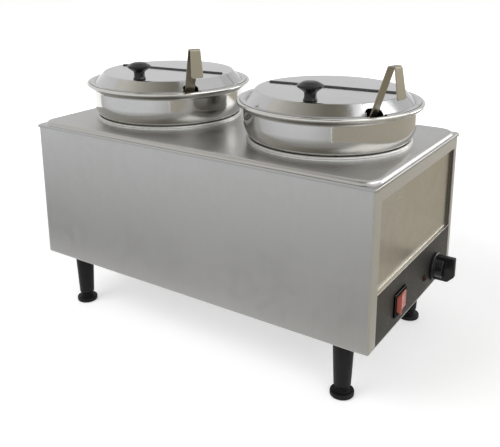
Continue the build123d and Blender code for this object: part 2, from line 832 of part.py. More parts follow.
def gland_nut():
    """Lock nut behind the rear wall."""
    z = z_casing + gland_height
    outline = RegularPolygon(gland_body_radius, 6, major_radius=False) - Circle(gland_thread_radius)
    nut = extrude(outline, nut_height)
    return Pos(gland_x, rear_y - sheet, z) * Rot(90, 0, 0) * nut


def terminal_block():
    """Supply terminals on the base pan, beside the gland."""
    long, deep, tall = terminal_size
    x0 = gland_x - gland_body_radius - 2 * long
    y1 = rear_y - bottom_flange - deep
    body = block(x0, x0 + long, y1 - deep, y1, z_plate, z_plate + tall)
    for i in range(terminal_ways):
        x = x0 + long * (i + 0.5) / terminal_ways
        body -= post(x, y1 - deep / 2, z_plate + tall - terminal_bore_depth, z_plate + tall,
                     terminal_bore)
    return body


# ------------------------------------------------------------------------------ assembly
nodes = {
    "deck_top": deck_top(),
    "outer_casing": outer_casing(),
    "end_panel": end_panel(),
    "control_plate": control_plate(),
    "base_pan": base_pan(),
    "casing_screws": screws(casing_screw_places(), screw_grip),
    "control_screws": screws(control_screw_places(), screw_grip),
    "thermostat_body": thermostat_body(),
    "thermostat_shaft": thermostat_shaft(),
    "thermostat_knob": thermostat_knob(),
    "capillary_bulb": capillary_bulb(),
    "rocker_bezel": rocker_bezel(),
    "rocker_paddle": rocker_paddle(),
    "pilot_lamp": pilot_lamp(),
    "cord_gland": cord_gland(),
    "gland_nut": gland_nut(),
    "terminal_block": terminal_block(),
}
for place, (x, y) in leg_places.items():
    nodes["leg_" + place] = leg(x, y)
    nodes["foot_" + place] = foot(x, y)
nodes["leg_nuts"] = hex_nuts(leg_places.values(), z_plate, leg_stud_radius)
nodes["clamp_nuts"] = hex_nuts(well_centres.values(), z_clamp - nut_height, well_stud_radius)
for side, (x, y) in well_centres.items():
    nodes["well_" + side] = well(x, y)
    nodes["heater_" + side] = heater(x, y)
    nodes["heater_clamp_" + side] = heater_clamp(x, y)
    nodes["insulation_" + side] = insulation(x, y)
    nodes["inset_" + side] = inset(x, y)
    nodes["lid_rear_" + side] = on_inset(lid_rear(), x, y)
    nodes["lid_flap_" + side] = on_inset(lid_flap(), x, y)
    nodes["hinge_pin_" + side] = on_inset(hinge_pin(), x, y)
    nodes["lid_knob_" + side] = on_inset(lid_knob(), x, y)
    nodes["knob_screw_" + side] = on_inset(knob_screw(), x, y)
    nodes["ladle_handle_" + side] = ladle_handle(x, y, ladle_turns[side])
    nodes["ladle_bowl_" + side] = ladle_bowl(x, y, ladle_turns[side])

# The origin is the middle of the whole box on the counter, so what stands proud at one end
# and at the rear moves every piece back by half.
boxes = [piece.bounding_box() for piece in nodes.values()]
shift_x = -(min(b.min.X for b in boxes) + max(b.max.X for b in boxes)) / 2
shift_y = -(min(b.min.Y for b in boxes) + max(b.max.Y for b in boxes)) / 2
os.makedirs("parts", exist_ok=True)
for name, piece in nodes.items():
    export_step(Pos(shift_x, shift_y, 0) * piece, os.path.join("parts", name + ".step"))
print(len(nodes), "nodes, shifted by", round(shift_x, 3), round(shift_y, 3))
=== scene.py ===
import math

import bmesh
import bpy
import numpy as np
from mathutils import Matrix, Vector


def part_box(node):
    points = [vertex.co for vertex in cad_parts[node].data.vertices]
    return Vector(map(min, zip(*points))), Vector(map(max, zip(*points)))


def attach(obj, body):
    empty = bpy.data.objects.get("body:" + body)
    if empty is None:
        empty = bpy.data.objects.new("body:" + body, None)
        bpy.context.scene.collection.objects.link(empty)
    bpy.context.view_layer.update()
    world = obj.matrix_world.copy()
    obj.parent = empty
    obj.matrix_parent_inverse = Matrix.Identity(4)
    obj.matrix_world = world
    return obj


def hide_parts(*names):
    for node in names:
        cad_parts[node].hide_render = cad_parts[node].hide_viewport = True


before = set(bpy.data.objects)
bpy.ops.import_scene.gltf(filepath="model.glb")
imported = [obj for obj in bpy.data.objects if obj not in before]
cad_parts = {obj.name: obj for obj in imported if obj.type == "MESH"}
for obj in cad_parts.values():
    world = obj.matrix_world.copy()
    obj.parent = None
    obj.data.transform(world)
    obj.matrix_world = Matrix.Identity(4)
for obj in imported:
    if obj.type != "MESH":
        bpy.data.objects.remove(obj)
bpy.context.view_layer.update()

# A two-well countertop topping warmer: a brushed steel casing on black tapered legs, a pressed
# deck, two polished insets with hinged lids and hooked ladles, and a black control plate.
# Metres, +Z up, +X towards the control end, -Y towards the server.

MM = 0.001

# ---- places read from the frame
deck_low, deck_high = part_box("deck_top")
middle_x = (deck_low.x + deck_high.x) / 2
middle_y = (deck_low.y + deck_high.y) / 2
deck_length = deck_high.x - deck_low.x
deck_depth = deck_high.y - deck_low.y
z_deck = deck_high.z
z_hem = deck_low.z
casing_low, casing_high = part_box("outer_casing")
face_x = casing_high.x


def centre_of(node):
    """The middle of a node's box."""
    low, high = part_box(node)
    return np.array([(low[i] + high[i]) / 2 for i in range(3)])


def on_face(node):
    """The point of the control end's face that lies in front of a node's middle."""
    return np.array([face_x, *centre_of(node)[1:]])


# ---- sheet, casing, deck and wells
sheet = 1.0 * MM
casing_bend = 3.0 * MM
bottom_corner = 0.3 * MM
bottom_bend = 1.2 * MM
bottom_flange = 12.0 * MM
window_front = casing_low.y + 21.0 * MM
window_rear = casing_high.y - 12.0 * MM
panel_recess = 5.2 * MM
panel_bend = 1.0 * MM
# Painted shade on the end panel's recess: where it starts and ends towards the rear wall, and how dark it
# gets there.
recess_shade_start = window_rear - 1.3 * MM
recess_shade_end = window_rear - 0.5 * MM
recess_shade = 0.33
deck_sheet = 1.2 * MM
deck_flange = 3.5 * MM
deck_rise = 5.5 * MM
deck_shoulder = 7.3 * MM
riser_lean = 2.2 * MM
deck_outer_corner = 5.5 * MM
deck_field_corner = 24.0 * MM
hem_round = 1.3 * MM
riser_round = 1.0 * MM
z_edge = z_deck - deck_rise
well_radius = 107.95 * MM
well_outer = well_radius + sheet
well_bead_major = 114.5 * MM
well_bead_radius = 2.5 * MM
well_flare = 3.0 * MM
well_foot = 0.4 * MM
well_foot_top = 0.25 * MM
well_foot_lift = 0.02 * MM
well_roll = (200.0, -20.0)
well_floor_round = 10.0 * MM
well_depth = 163.4 * MM
opening_gap = 0.2 * MM
field_rows = 8
midline_points = 60

# ---- insets
inset_radius = 104.8 * MM
inset_corner = 19.0 * MM
belly_radius = 121.5 * MM
belly_round = 36.0 * MM
belly_top = 47.0 * MM
neck_round = 4.0 * MM
lip_round = 5.0 * MM
shoulder_angle = math.radians(41.4)
rim_major = 128.0 * MM
rim_bead = 3.0 * MM
rim_roll = (-118.0, 218.0)
z_rim = z_deck + 54.6 * MM
seat_gap = 0.3 * MM

# ---- lids
lid_turn = math.radians(6.0)
lid_edge = 126.0 * MM
lid_step = 120.5 * MM
lid_foot = 118.5 * MM
lid_top = 104.0 * MM
lid_band = 4.0 * MM
lid_round = 3.0 * MM
step_round = 0.7 * MM
lid_step_drop = 2.5 * MM
lid_rise = 13.4 * MM
lid_split = 6.0 * MM
split_gap = 1.2 * MM
z_flange = z_rim + math.sqrt((rim_bead + seat_gap) ** 2 - (rim_major - lid_edge) ** 2) + sheet
z_lid = z_flange + lid_rise
notch_azimuth = math.radians(40.0)
notch_half = 12.5 * MM
notch_rise = 8.0 * MM
notch_corner = 7.0 * MM
fill_rows = 9
lid_even_columns = 140
knuckles = 5
barrel_length = 192.0 * MM
barrel_radius = 2.2 * MM
barrel_gap = 0.4 * MM
knuckle_pitch = barrel_length / knuckles
pin_bore = 1.25 * MM
FIRST_KNUCKLE = {"rear": 0, "flap": 1}

# ---- lid knobs
knob_foot = 10.0 * MM
knob_foot_top = 4.0 * MM
knob_waist = 8.0 * MM
knob_waist_top = 11.0 * MM
knob_cap = 17.5 * MM
knob_cap_low = 17.8 * MM
knob_cap_high = 20.4 * MM
knob_crown = 9.0 * MM
knob_dome = 0.8 * MM
knob_height = 26.0 * MM

# ---- ladles
ladle_lean = math.radians(20.0)
ladle_azimuth = math.radians(-35.0)
ladle_radius = 118.0 * MM
ladle_turns = {"left": math.radians(-35.0), "right": math.radians(-13.0)}
z_ladle = z_rim + 5.0 * MM
strip_width = 15.0 * MM
strip_sheet = 2.0 * MM
strip_edge = 0.45 * MM
strip_flat = 0.47
strip_rows = 40
ladle_top = 59.0 * MM
fold_rise = 4.0 * MM
fold_bend = 2.2 * MM
fold_width = 9.5 * MM
hook_lean = math.radians(10.0)
hook_length = 36.0 * MM
hook_width = 18.0 * MM
hook_corner = 3.0 * MM
hook_rows = 60
bowl_radius = 27.0 * MM
bowl_depth = 22.0 * MM
bowl_sheet = 0.9 * MM

# ---- legs and feet
leg_top_radius = 14.8 * MM
leg_end_radius = 11.6 * MM
leg_end = 16.0 * MM
foot_top = 12.0 * MM
foot_neck = 9.4 * MM
foot_radius = 16.3 * MM
foot_height = 7.0 * MM
foot_round = 1.6 * MM
stud_radius = 4.0 * MM
stud_length = 36.0 * MM
running_gap = 0.3 * MM

# ---- controls
dial_skirt_radius = 21.0 * MM
dial_skirt = 5.5 * MM
dial_hub_radius = 15.0 * MM
dial_hub = 17.0 * MM
dial_bar = 38.0 * MM
dial_bar_thickness = 10.0 * MM
dial_chamfer = 9.0 * MM
dial_gap = 0.5 * MM
dial_edge = 1.6 * MM
dial_bevel = 1.5 * MM
bezel_proud = 3.0 * MM
bezel_corner = 2.0 * MM
paddle_long = 28.0 * MM
paddle_tall = 24.0 * MM
paddle_room = 0.5 * MM
paddle_end = 5.5 * MM
paddle_middle = 3.5 * MM
paddle_back = 5.0 * MM
paddle_taper = 3.0 * MM
paddle_edge = 1.0 * MM
paddle_corner = 1.2 * MM
paddle_softness = 0.01
paddle_tilt = math.radians(10.0)
pivot_proud = 1.2 * MM
lamp_neck = 4.0 * MM
lamp_radius = 4.8 * MM
lamp_proud = 4.5 * MM
gland_radius = 10.5 * MM
gland_length = 16.0 * MM
gland_bore = 3.6 * MM
gland_thread = 7.5 * MM
gland_cap = 8.0 * MM
gland_dome = 3.0 * MM
gland_mouth = 1.5 * MM

SIDES = ("left", "right")
CORNERS = ("front_left", "front_right", "rear_left", "rear_right")
coincident = 0.001 * MM
sharp_angle = 35.0


# ------------------------------------------------------------------------ mesh functions
def piece_from(name, points, faces, material, sharp=sharp_angle):
    """A mesh piece from an array of points and a list of faces. Points that coincide are merged
    and faces are turned to face outwards. Edges sharper than an angle in degrees stay sharp."""
    mesh = bpy.data.meshes.new(name)
    mesh.from_pydata(np.asarray(points, float).reshape(-1, 3), [], faces)
    tidy = bmesh.new()
    tidy.from_mesh(mesh)
    bmesh.ops.remove_doubles(tidy, verts=tidy.verts, dist=coincident)
    bmesh.ops.dissolve_degenerate(tidy, edges=tidy.edges, dist=coincident / 10)
    bmesh.ops.recalc_face_normals(tidy, faces=tidy.faces)
    tidy.to_mesh(mesh)
    tidy.free()
    mesh.polygons.foreach_set("use_smooth", np.ones(len(mesh.polygons), bool))
    mesh.set_sharp_from_angle(angle=math.radians(sharp))
    mesh.materials.append(material)
    piece = bpy.data.objects.new(name, mesh)
    bpy.context.scene.collection.objects.link(piece)
    return piece


def grid_faces(rows, columns, wrap_rows=False, wrap_columns=False):
    """Quads between neighbours of a rows x columns grid of points, numbered row by row. Wrapping
    joins the last row or column to the first."""
    i = np.arange(rows if wrap_rows else rows - 1)
    j = np.arange(columns if wrap_columns else columns - 1)
    i, j = np.meshgrid(i, j, indexing="ij")
    below, right = (i + 1) % rows, (j + 1) % columns
    quads = [i * columns + j, i * columns + right, below * columns + right, below * columns + j]
    return np.stack(quads, -1).reshape(-1, 4)


def tube_faces(grid, caps=(0, 1)):
    """Quads round a grid whose columns close on themselves, with one many-sided face over its
    first row (cap 0), its last row (cap 1) or both."""
    rows, columns = grid.shape[:2]
    ends = [list(range(columns))[::-1], list(range((rows - 1) * columns, rows * columns))]
    return grid_faces(rows, columns, wrap_columns=True).tolist() + [ends[cap] for cap in caps]


def joined(*parts):
    """One array of points and one list of faces from several, each part's faces counted on."""
    starts = np.cumsum([0] + [np.asarray(points).size // 3 for points, _ in parts])
    points = np.vstack([np.asarray(points, float).reshape(-1, 3) for points, _ in parts])
    faces = [[int(corner) + int(start) for corner in face]
             for (_, part_faces), start in zip(parts, starts) for face in part_faces]
    return points, faces


def rounded(corners, radii, step=math.radians(9.0)):
    """A polyline whose inner corners are arcs tangent to both runs: an arc of radius r starts
    r / tan(half the corner's angle) before the corner, and its centre lies r / sin(half the
    angle) along the bisector. A corner of radius 0 stays sharp."""
    straight = math.pi - 1e-4
    corners = np.asarray(corners, float)
    path = [corners[0]]
    for a, b, c, r in zip(corners[:-2], corners[1:-1], corners[2:], radii):
        to_a = (a - b) / np.linalg.norm(a - b)
        to_c = (c - b) / np.linalg.norm(c - b)
        angle = math.acos(float(np.clip(to_a @ to_c, -1, 1)))
        if r <= 0 or angle > straight:
            path.append(b)
            continue
        bisector = (to_a + to_c) / np.linalg.norm(to_a + to_c)
        centre = b + bisector * r / math.sin(angle / 2)
        start = b + to_a * r / math.tan(angle / 2) - centre
        end = b + to_c * r / math.tan(angle / 2) - centre
        turn = math.pi - angle
        t = np.linspace(0, 1, max(3, int(turn / step) + 2))[:, None]
        path.extend(centre + (np.sin((1 - t) * turn) * start + np.sin(t * turn) * end) / math.sin(turn))
    path.append(corners[-1])
    return np.array(path)


def circle_arc(centre, radius, first, last, count):
    """Points on a circle between two angles in degrees."""
    a = np.radians(np.linspace(first, last, count))
    return np.column_stack([centre[0] + radius * np.cos(a), centre[1] + radius * np.sin(a)])


def lengths_along(path):
    """How far along a path each of its points lies."""
    return np.concatenate([[0], np.cumsum(np.linalg.norm(np.diff(path, axis=0), axis=1))])


def beside(path, distance):
    """A path moved to its left by a distance, along the mean of the normals of the two runs that
    meet at each point, stretched so that the gap stays even."""
    runs = np.diff(path, axis=0)
    runs /= np.linalg.norm(runs, axis=1, keepdims=True)
    before = np.vstack([runs[:1], runs])
    after = np.vstack([runs, runs[-1:]])
    mean = before + after
    mean /= np.linalg.norm(mean, axis=1, keepdims=True)
    stretch = 1 / np.clip(np.sum(mean * after, axis=1, keepdims=True), 0.5, 1)
    return path + np.column_stack([-mean[:, 1], mean[:, 0]]) * distance * stretch


def spun(profile, centre=(0.0, 0.0), segments=160, closed=False):
    """A profile of radius and height turned about a vertical axis: points (r cos a, r sin a, z).
    The profile starts and ends on the axis, or is closed."""
    a = np.linspace(0, 2 * math.pi, segments, endpoint=False)
    r, z = profile[:, 0][:, None], profile[:, 1][:, None]
    points = np.stack([centre[0] + r * np.cos(a), centre[1] + r * np.sin(a), z + 0 * a], -1)
    return points, grid_faces(len(profile), segments, wrap_rows=closed, wrap_columns=True).tolist()


def facing_end(points, at):
    """Points with their height laid along +X, moved to a place on the control end."""
    x, y, z = np.moveaxis(np.asarray(points, float), -1, 0)
    return np.stack([at[0] + z, at[1] + x, at[2] + y], -1)


def facing_rear(points, at):
    """Points with their height laid along +Y, moved to a place on the rear wall."""
    x, y, z = np.moveaxis(np.asarray(points, float), -1, 0)
    return np.stack([at[0] - x, at[1] + z, at[2] + y], -1)


def turned(points, angle, centre=(0.0, 0.0)):
    """Points turned about the vertical axis by an angle and then moved to a centre."""
    c, s = math.cos(angle), math.sin(angle)
    x, y, z = np.moveaxis(np.asarray(points, float), -1, 0)
    return np.stack([centre[0] + c * x - s * y, centre[1] + s * x + c * y, z], -1)


def rounded_rectangle(length, depth, corner, arc, side, stops=()):
    """Points round a rectangle with round corners: four arcs of so many points, and so many
    points between them. Stops are places along the +X side that get a point each."""
    half_x, half_y = length / 2 - corner, depth / 2 - corner
    signs = ((1, 1), (-1, 1), (-1, -1), (1, -1))
    arcs = [circle_arc((sx * half_x, sy * half_y), corner, q * 90, q * 90 + 90, arc)
            for q, (sx, sy) in enumerate(signs)]
    even = np.linspace(0, 1, side + 2)[1:-1]
    points = []
    for q in range(4):
        start, end = arcs[q][-1], arcs[(q + 1) % 4][0]
        t = (np.array(stops) + half_y) / (2 * half_y) if q == 3 and len(stops) else even
        points += [arcs[q], start + (end - start) * t[:, None]]
    return np.vstack(points)


def stacked(length, depth, corner, section, arc=6, side=0, stops=(), least=0.05 * MM):
    """A rounded rectangle carried through a section of inward offsets and heights. Its corner
    draws in with the offset down to a least radius, unless each row is given its own."""
    section = np.asarray(section, float)
    corners = corner if np.ndim(corner) else np.maximum(corner - section[:, 0], least)
    rows = []
    for radius, (offset, height) in zip(corners, section):
        plan = rounded_rectangle(length - 2 * offset, depth - 2 * offset, radius, arc, side, stops)
        rows.append(np.column_stack([plan, np.full(len(plan), height)]))
    return np.array(rows)


def solidify(piece, thickness, even=True):
    """Gives an open sheet its wall, on the side away from its normals."""
    wall = piece.modifiers.new("wall", "SOLIDIFY")
    wall.thickness = thickness
    wall.offset = -1
    wall.use_even_offset = even
    bpy.context.view_layer.objects.active = piece
    with bpy.context.temp_override(object=piece):
        bpy.ops.object.modifier_apply(modifier=wall.name)
    piece.data.set_sharp_from_angle(angle=math.radians(sharp_angle))


def read_faces(piece, label, width=1):
    """One property of every face of a piece, as rows of so many numbers."""
    polygons = piece.data.polygons
    values = np.empty(len(polygons) * width)
    polygons.foreach_get(label, values)
    return values.reshape(-1, width)


def face_towards(piece, direction):
    """Turns an open sheet's faces so that on the whole they look in a direction, which is one
    for all or one for each face."""
    looks = np.sum(read_faces(piece, "normal", 3) * direction, axis=1)
    if looks @ read_faces(piece, "area")[:, 0] < 0:
        piece.data.flip_normals()


def place(piece, body, slot, *nodes):
    """Rides a piece on its body and hides the nodes that it stands for. Its slot is not used."""
    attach(piece, body)
    if nodes:
        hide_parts(*nodes)


def place_turned(name, profile, node, segments, material, body, slot, sharp=sharp_angle):
    """A profile turned on a node's axis, riding on a body in that node's stead."""
    piece = piece_from(name, *spun(profile, centre_of(node), segments), material, sharp)
    place(piece, body, slot, node)


# --------------------------------------------------------------------------- node groups
def new_group(name, inputs, outputs):
    """A shader node group with named inputs and outputs, and its two end nodes."""
    tree = bpy.data.node_groups.new(name, "ShaderNodeTree")
    for label, kind, value in inputs:
        socket = tree.interface.new_socket(label, in_out="INPUT", socket_type=kind)
        socket.default_value = value
    for label in outputs:
        tree.interface.new_socket(label, in_out="OUTPUT", socket_type="NodeSocketFloat")
    return tree, tree.nodes.new("NodeGroupInput"), tree.nodes.new("NodeGroupOutput")


def object_place(tree):
    """Object coordinates, which are the frame's own, as every piece's object is at the origin."""
    return tree.nodes.new("ShaderNodeTexCoord").outputs["Object"]


def math_node(tree, operation, a, b=0.0, clamp=False):
    """A math node on two sockets or numbers."""
    node = tree.nodes.new("ShaderNodeMath")
    node.operation = operation
    node.use_clamp = clamp
    for socket, value in zip(node.inputs, (a, b)):
        if isinstance(value, (int, float)):
            socket.default_value = value
        else:
            tree.links.new(value, socket)
    return node.outputs[0]


def vector_node(tree, operation, a, b=None):
    """A vector math node on a socket, and on a second socket, a scale socket or a plain vector."""
    node = tree.nodes.new("ShaderNodeVectorMath")
    node.operation = operation
    tree.links.new(a, node.inputs[0])
    second = node.inputs["Scale" if operation == "SCALE" else 1]
    if isinstance(b, tuple):
        second.default_value = b
    elif b is not None:
        tree.links.new(b, second)
    return node.outputs["Value" if operation in ("LENGTH", "DOT_PRODUCT") else "Vector"]


def noise_node(tree, vector, scale, detail, roughness=0.5):
    """A noise texture on a vector socket, its factor between 0 and 1."""
    node = tree.nodes.new("ShaderNodeTexNoise")
    node.inputs["Scale"].default_value = scale
    node.inputs["Detail"].default_value = detail
    node.inputs["Roughness"].default_value = roughness
    tree.links.new(vector, node.inputs["Vector"])
    return node.outputs["Fac"]


def swing_outputs(tree, given, out, fine):
    """Tone that swings about 1 by the group's strength, and Height about 0."""
    swing = math_node(tree, "SUBTRACT", fine, 0.5)
    scaled = math_node(tree, "MULTIPLY", swing, given.outputs["Tone Strength"])
    tree.links.new(math_node(tree, "ADD", scaled, 1.0), out.inputs["Tone"])
    tree.links.new(swing, out.inputs["Height"])


def grain_group():
    """Brushed grain: noise whose coordinates are stretched, slow along the brushing."""
    tree, given, out = new_group(
        "brushed grain", [("Stretch", "NodeSocketVector", (900.0, 900.0, 8.0)),
                          ("Tone Strength", "NodeSocketFloat", 0.06)], ["Tone", "Height"])
    stretched = vector_node(tree, "MULTIPLY", object_place(tree), given.outputs["Stretch"])
    swing_outputs(tree, given, out, noise_node(tree, stretched, 1.0, 3.0, 0.6))
    return tree


def spin_group():
    """Spinning marks: noise over the distance from a vertical axis and the height, so that its
    marks run round the turn."""
    tree, given, out = new_group(
        "spinning marks", [("Centre", "NodeSocketVector", (0.0, 0.0, 0.0)),
                           ("Rings", "NodeSocketFloat", 700.0), ("Rise", "NodeSocketFloat", 700.0),
                           ("Tone Strength", "NodeSocketFloat", 0.06)], ["Tone", "Height"])
    parts = tree.nodes.new("ShaderNodeSeparateXYZ")
    offset = vector_node(tree, "SUBTRACT", object_place(tree), given.outputs["Centre"])
    tree.links.new(offset, parts.inputs[0])
    x, y, z = parts.outputs
    squares = math_node(tree, "ADD", math_node(tree, "MULTIPLY", x, x), math_node(tree, "MULTIPLY", y, y))
    radius = math_node(tree, "SQRT", squares)
    join = tree.nodes.new("ShaderNodeCombineXYZ")
    tree.links.new(math_node(tree, "MULTIPLY", radius, given.outputs["Rings"]), join.inputs["X"])
    tree.links.new(math_node(tree, "MULTIPLY", z, given.outputs["Rise"]), join.inputs["Y"])
    swing_outputs(tree, given, out, noise_node(tree, join.outputs[0], 1.0, 2.0, 0.6))
    return tree


def marks_group():
    """Handling marks: broad soft patches times finer cloudy ones, lifted to run from 0 to 1."""
    lift = 3.2
    tree, given, out = new_group(
        "handling marks", [("Size", "NodeSocketFloat", 12.0), ("Strength", "NodeSocketFloat", 1.0)], ["Mark"])
    spread = vector_node(tree, "SCALE", object_place(tree), given.outputs["Size"])
    broad = noise_node(tree, spread, 1.0, 4.0, 0.55)
    fine = noise_node(tree, spread, 7.0, 3.0, 0.6)
    lifted = math_node(tree, "MULTIPLY", math_node(tree, "MULTIPLY", broad, fine), lift)
    mark = math_node(tree, "MULTIPLY", lifted, given.outputs["Strength"], clamp=True)
    tree.links.new(mark, out.inputs["Mark"])
    return tree


GRAIN = grain_group()
SPIN = spin_group()
MARKS = marks_group()


# ----------------------------------------------------------------------------- materials
def new_material(name, colour, roughness, metallic=0.0):
    """A material with its shader's plain values set, its node tree and its shader."""
    material = bpy.data.materials.new(name)
    material.use_nodes = True
    shader = material.node_tree.nodes["Principled BSDF"]
    shader.inputs["Base Color"].default_value = (*colour, 1.0)
    shader.inputs["Roughness"].default_value = roughness
    shader.inputs["Metallic"].default_value = metallic
    return material, material.node_tree, shader


def use_group(tree, group, **values):
    """A group placed in a material with its own values; an underscore stands for a space."""
    node = tree.nodes.new("ShaderNodeGroup")
    node.node_tree = group
    for label, value in values.items():
        node.inputs[label.replace("_", " ")].default_value = value
    return node


def mixed(tree, first, second, factor=None, blend="MIX"):
    """Two colours, each a tuple or a socket, mixed by a factor socket or fully blended."""
    node = tree.nodes.new("ShaderNodeMix")
    node.data_type = "RGBA"
    node.blend_type = blend
    node.inputs["Factor"].default_value = 1.0
    if factor is not None:
        tree.links.new(factor, node.inputs["Factor"])
    for socket, colour in zip((node.inputs["A"], node.inputs["B"]), (first, second)):
        if isinstance(colour, tuple):
            socket.default_value = (*colour, 1.0)
        else:
            tree.links.new(colour, socket)
    return node.outputs["Result"]


def between(tree, low, high, factor):
    """A number that runs from low to high with a factor socket."""
    return math_node(tree, "ADD", math_node(tree, "MULTIPLY", factor, high - low), low)


def surface(name, colour, roughness, pattern, dulling, marks_size, depth, metallic,
            spread=(0.85, 1.3), tint=None):
    """A material whose colour is swung by a pattern group's Tone and dulled or tinted in handling
    marks, with its roughness spread over the marks and the pattern's Height as a faint bump."""
    dull_share = 0.8
    material, tree, shader = new_material(name, colour, roughness, metallic)
    group, values = pattern
    grain = use_group(tree, group, **values)
    mark = use_group(tree, MARKS, Size=marks_size).outputs["Mark"]
    amount = math_node(tree, "MULTIPLY", mark, dulling)
    base = mixed(tree, colour, tint or tuple(dull_share * c for c in colour), amount)
    swung = mixed(tree, base, grain.outputs["Tone"], blend="MULTIPLY")
    tree.links.new(swung, shader.inputs["Base Color"])
    rough = between(tree, roughness * spread[0], roughness * spread[1], mark)
    tree.links.new(rough, shader.inputs["Roughness"])
    bump = tree.nodes.new("ShaderNodeBump")
    bump.inputs["Distance"].default_value = depth
    tree.links.new(grain.outputs["Height"], bump.inputs["Height"])
    tree.links.new(bump.outputs["Normal"], shader.inputs["Normal"])
    return material


def brushed_steel(name, colour, roughness, stretch, tone=0.06, depth=0.02 * MM, dulling=0.3,
                  spread=(0.85, 1.3), tint=None):
    """Stainless steel or other sheet metal, brushed or rolled."""
    marks_size = 9.0
    pattern = (GRAIN, {"Stretch": stretch, "Tone_Strength": tone})
    return surface(name, colour, roughness, pattern, dulling, marks_size, depth, 1.0, spread, tint)


def shade_towards(material, axis, start, end, darkest):
    """Paints shade into a finish: darkens it evenly along one axis, from a start to an end, and keeps it dark
    beyond.
    """
    tree = material.node_tree
    base = tree.nodes["Principled BSDF"].inputs["Base Color"]
    parts = tree.nodes.new("ShaderNodeSeparateXYZ")
    tree.links.new(object_place(tree), parts.inputs[0])
    along = math_node(tree, "SUBTRACT", parts.outputs[axis], start)
    share = math_node(tree, "MULTIPLY", along, 1 / (end - start), clamp=True)
    light = between(tree, 1.0, darkest, share)
    tree.links.new(mixed(tree, base.links[0].from_socket, light, blend="MULTIPLY"), base)


def polished_steel(name, colour, roughness, centre):
    """Stainless steel spun about a vertical axis and polished."""
    tone, dulling, marks_size, depth = 0.04, 0.3, 22.0, 0.003 * MM
    pattern = (SPIN, {"Centre": (centre[0], centre[1], 0.0), "Tone_Strength": tone})
    return surface(name, colour, roughness, pattern, dulling, marks_size, depth, 1.0, spread=(0.6, 1.6))


def moulded_plastic(name, colour, roughness, depth=0.03 * MM, fineness=900.0, gloss=0.3):
    """Moulded plastic, enamel or fibre with a faint fine texture."""
    tone, dulling, marks_size = 0.15, 0.2, 30.0
    pattern = (GRAIN, {"Stretch": (fineness,) * 3, "Tone_Strength": tone})
    material = surface(name, colour, roughness, pattern, dulling, marks_size, depth, 0.0)
    material.node_tree.nodes["Principled BSDF"].inputs["Specular IOR Level"].default_value = gloss
    return material


# ---- finishes. A grain's numbers are its noise's frequencies along X, Y and Z
upright_grain = (700.0, 700.0, 6.0)
lengthwise_grain = (9.0, 800.0, 800.0)
even_grain = (300.0, 300.0, 300.0)
casing_steel = brushed_steel("casing steel", (0.545, 0.54, 0.525), 0.33, upright_grain, dulling=0.2)
deck_steel = brushed_steel("deck steel", (0.43, 0.426, 0.415), 0.28, lengthwise_grain, depth=0.01 * MM,
                           dulling=0.12, spread=(0.92, 1.12))
panel_steel = brushed_steel("panel steel", (0.47, 0.47, 0.445), 0.26, upright_grain, tone=0.02,
                            depth=0.003 * MM, dulling=0.8, tint=(0.445, 0.40, 0.325))
# Painted shade: the panel steel darkens towards the recess's rear wall and stays dark on the wall.
shade_towards(panel_steel, "Y", recess_shade_start, recess_shade_end, recess_shade)
pan_steel = brushed_steel("pan steel", (0.45, 0.45, 0.45), 0.4, lengthwise_grain)
ladle_steel = brushed_steel("ladle steel", (0.295, 0.267, 0.203), 0.26, (500.0, 500.0, 20.0), tone=0.1)
# Near black: painted shade of the narrow gap along the hinge, on its knuckles and pin.
hinge_steel_in_painted_shade = brushed_steel("hinge steel in painted shade", (0.10, 0.10, 0.10), 0.5, (40.0, 900.0, 900.0))
zinc_steel = brushed_steel("zinc plate", (0.55, 0.56, 0.55), 0.35, even_grain)
black_enamel = moulded_plastic("black enamel", (0.027, 0.0245, 0.0205), 0.42, gloss=0.4)
black_knob = moulded_plastic("black phenolic", (0.012, 0.012, 0.013), 0.14, depth=0.003 * MM, gloss=0.3)
black_leg = moulded_plastic("black leg plastic", (0.007, 0.007, 0.007), 0.45, gloss=0.2)
black_fitting = moulded_plastic("black fitting plastic", (0.012, 0.012, 0.012), 0.35)
phenolic = moulded_plastic("brown phenolic", (0.12, 0.06, 0.035), 0.4)
red_rocker = moulded_plastic("red rocker", (0.62, 0.17, 0.13), 0.22, depth=0.003 * MM)
amber_lens = moulded_plastic("amber lens", (0.035, 0.014, 0.008), 0.2, depth=0.003 * MM, gloss=0.15)
heater_plate = brushed_steel("heater plate", (0.30, 0.27, 0.24), 0.45, (200.0, 200.0, 200.0))
copper = brushed_steel("copper tube", (0.72, 0.40, 0.24), 0.3, even_grain)
fibre = moulded_plastic("mineral fibre", (0.72, 0.69, 0.60), 0.95, depth=0.4 * MM, fineness=250.0)
inset_steels, lid_steels, well_steels = {}, {}, {}
for side in SIDES:
    axis = centre_of("inset_" + side)
    inset_steels[side] = polished_steel("inset steel " + side, (0.565, 0.557, 0.53), 0.075, axis)
    lid_steels[side] = polished_steel("lid steel " + side, (0.485, 0.485, 0.49), 0.10, axis)
    well_steels[side] = polished_steel("well steel " + side, (0.60, 0.60, 0.58), 0.38, axis)

NODE_FINISH = {
    "base_pan": pan_steel, "control_plate": black_enamel, "casing_screws": zinc_steel,
    "control_screws": zinc_steel, "thermostat_body": phenolic, "thermostat_shaft": zinc_steel,
    "capillary_bulb": copper, "rocker_bezel": black_fitting, "gland_nut": black_fitting,
    "terminal_block": phenolic, "leg_nuts": zinc_steel, "clamp_nuts": zinc_steel,
    "heater": heater_plate, "heater_clamp": zinc_steel, "insulation": fibre,
    "hinge_pin": hinge_steel_in_painted_shade, "knob_screw": zinc_steel,
}


def finish_nodes():
    """Gives every node that stays its own material."""
    for name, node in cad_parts.items():
        finish = NODE_FINISH.get(name) or NODE_FINISH.get(name.rsplit("_", 1)[0])
        if finish:
            node.data.materials.clear()
            node.data.materials.append(finish)


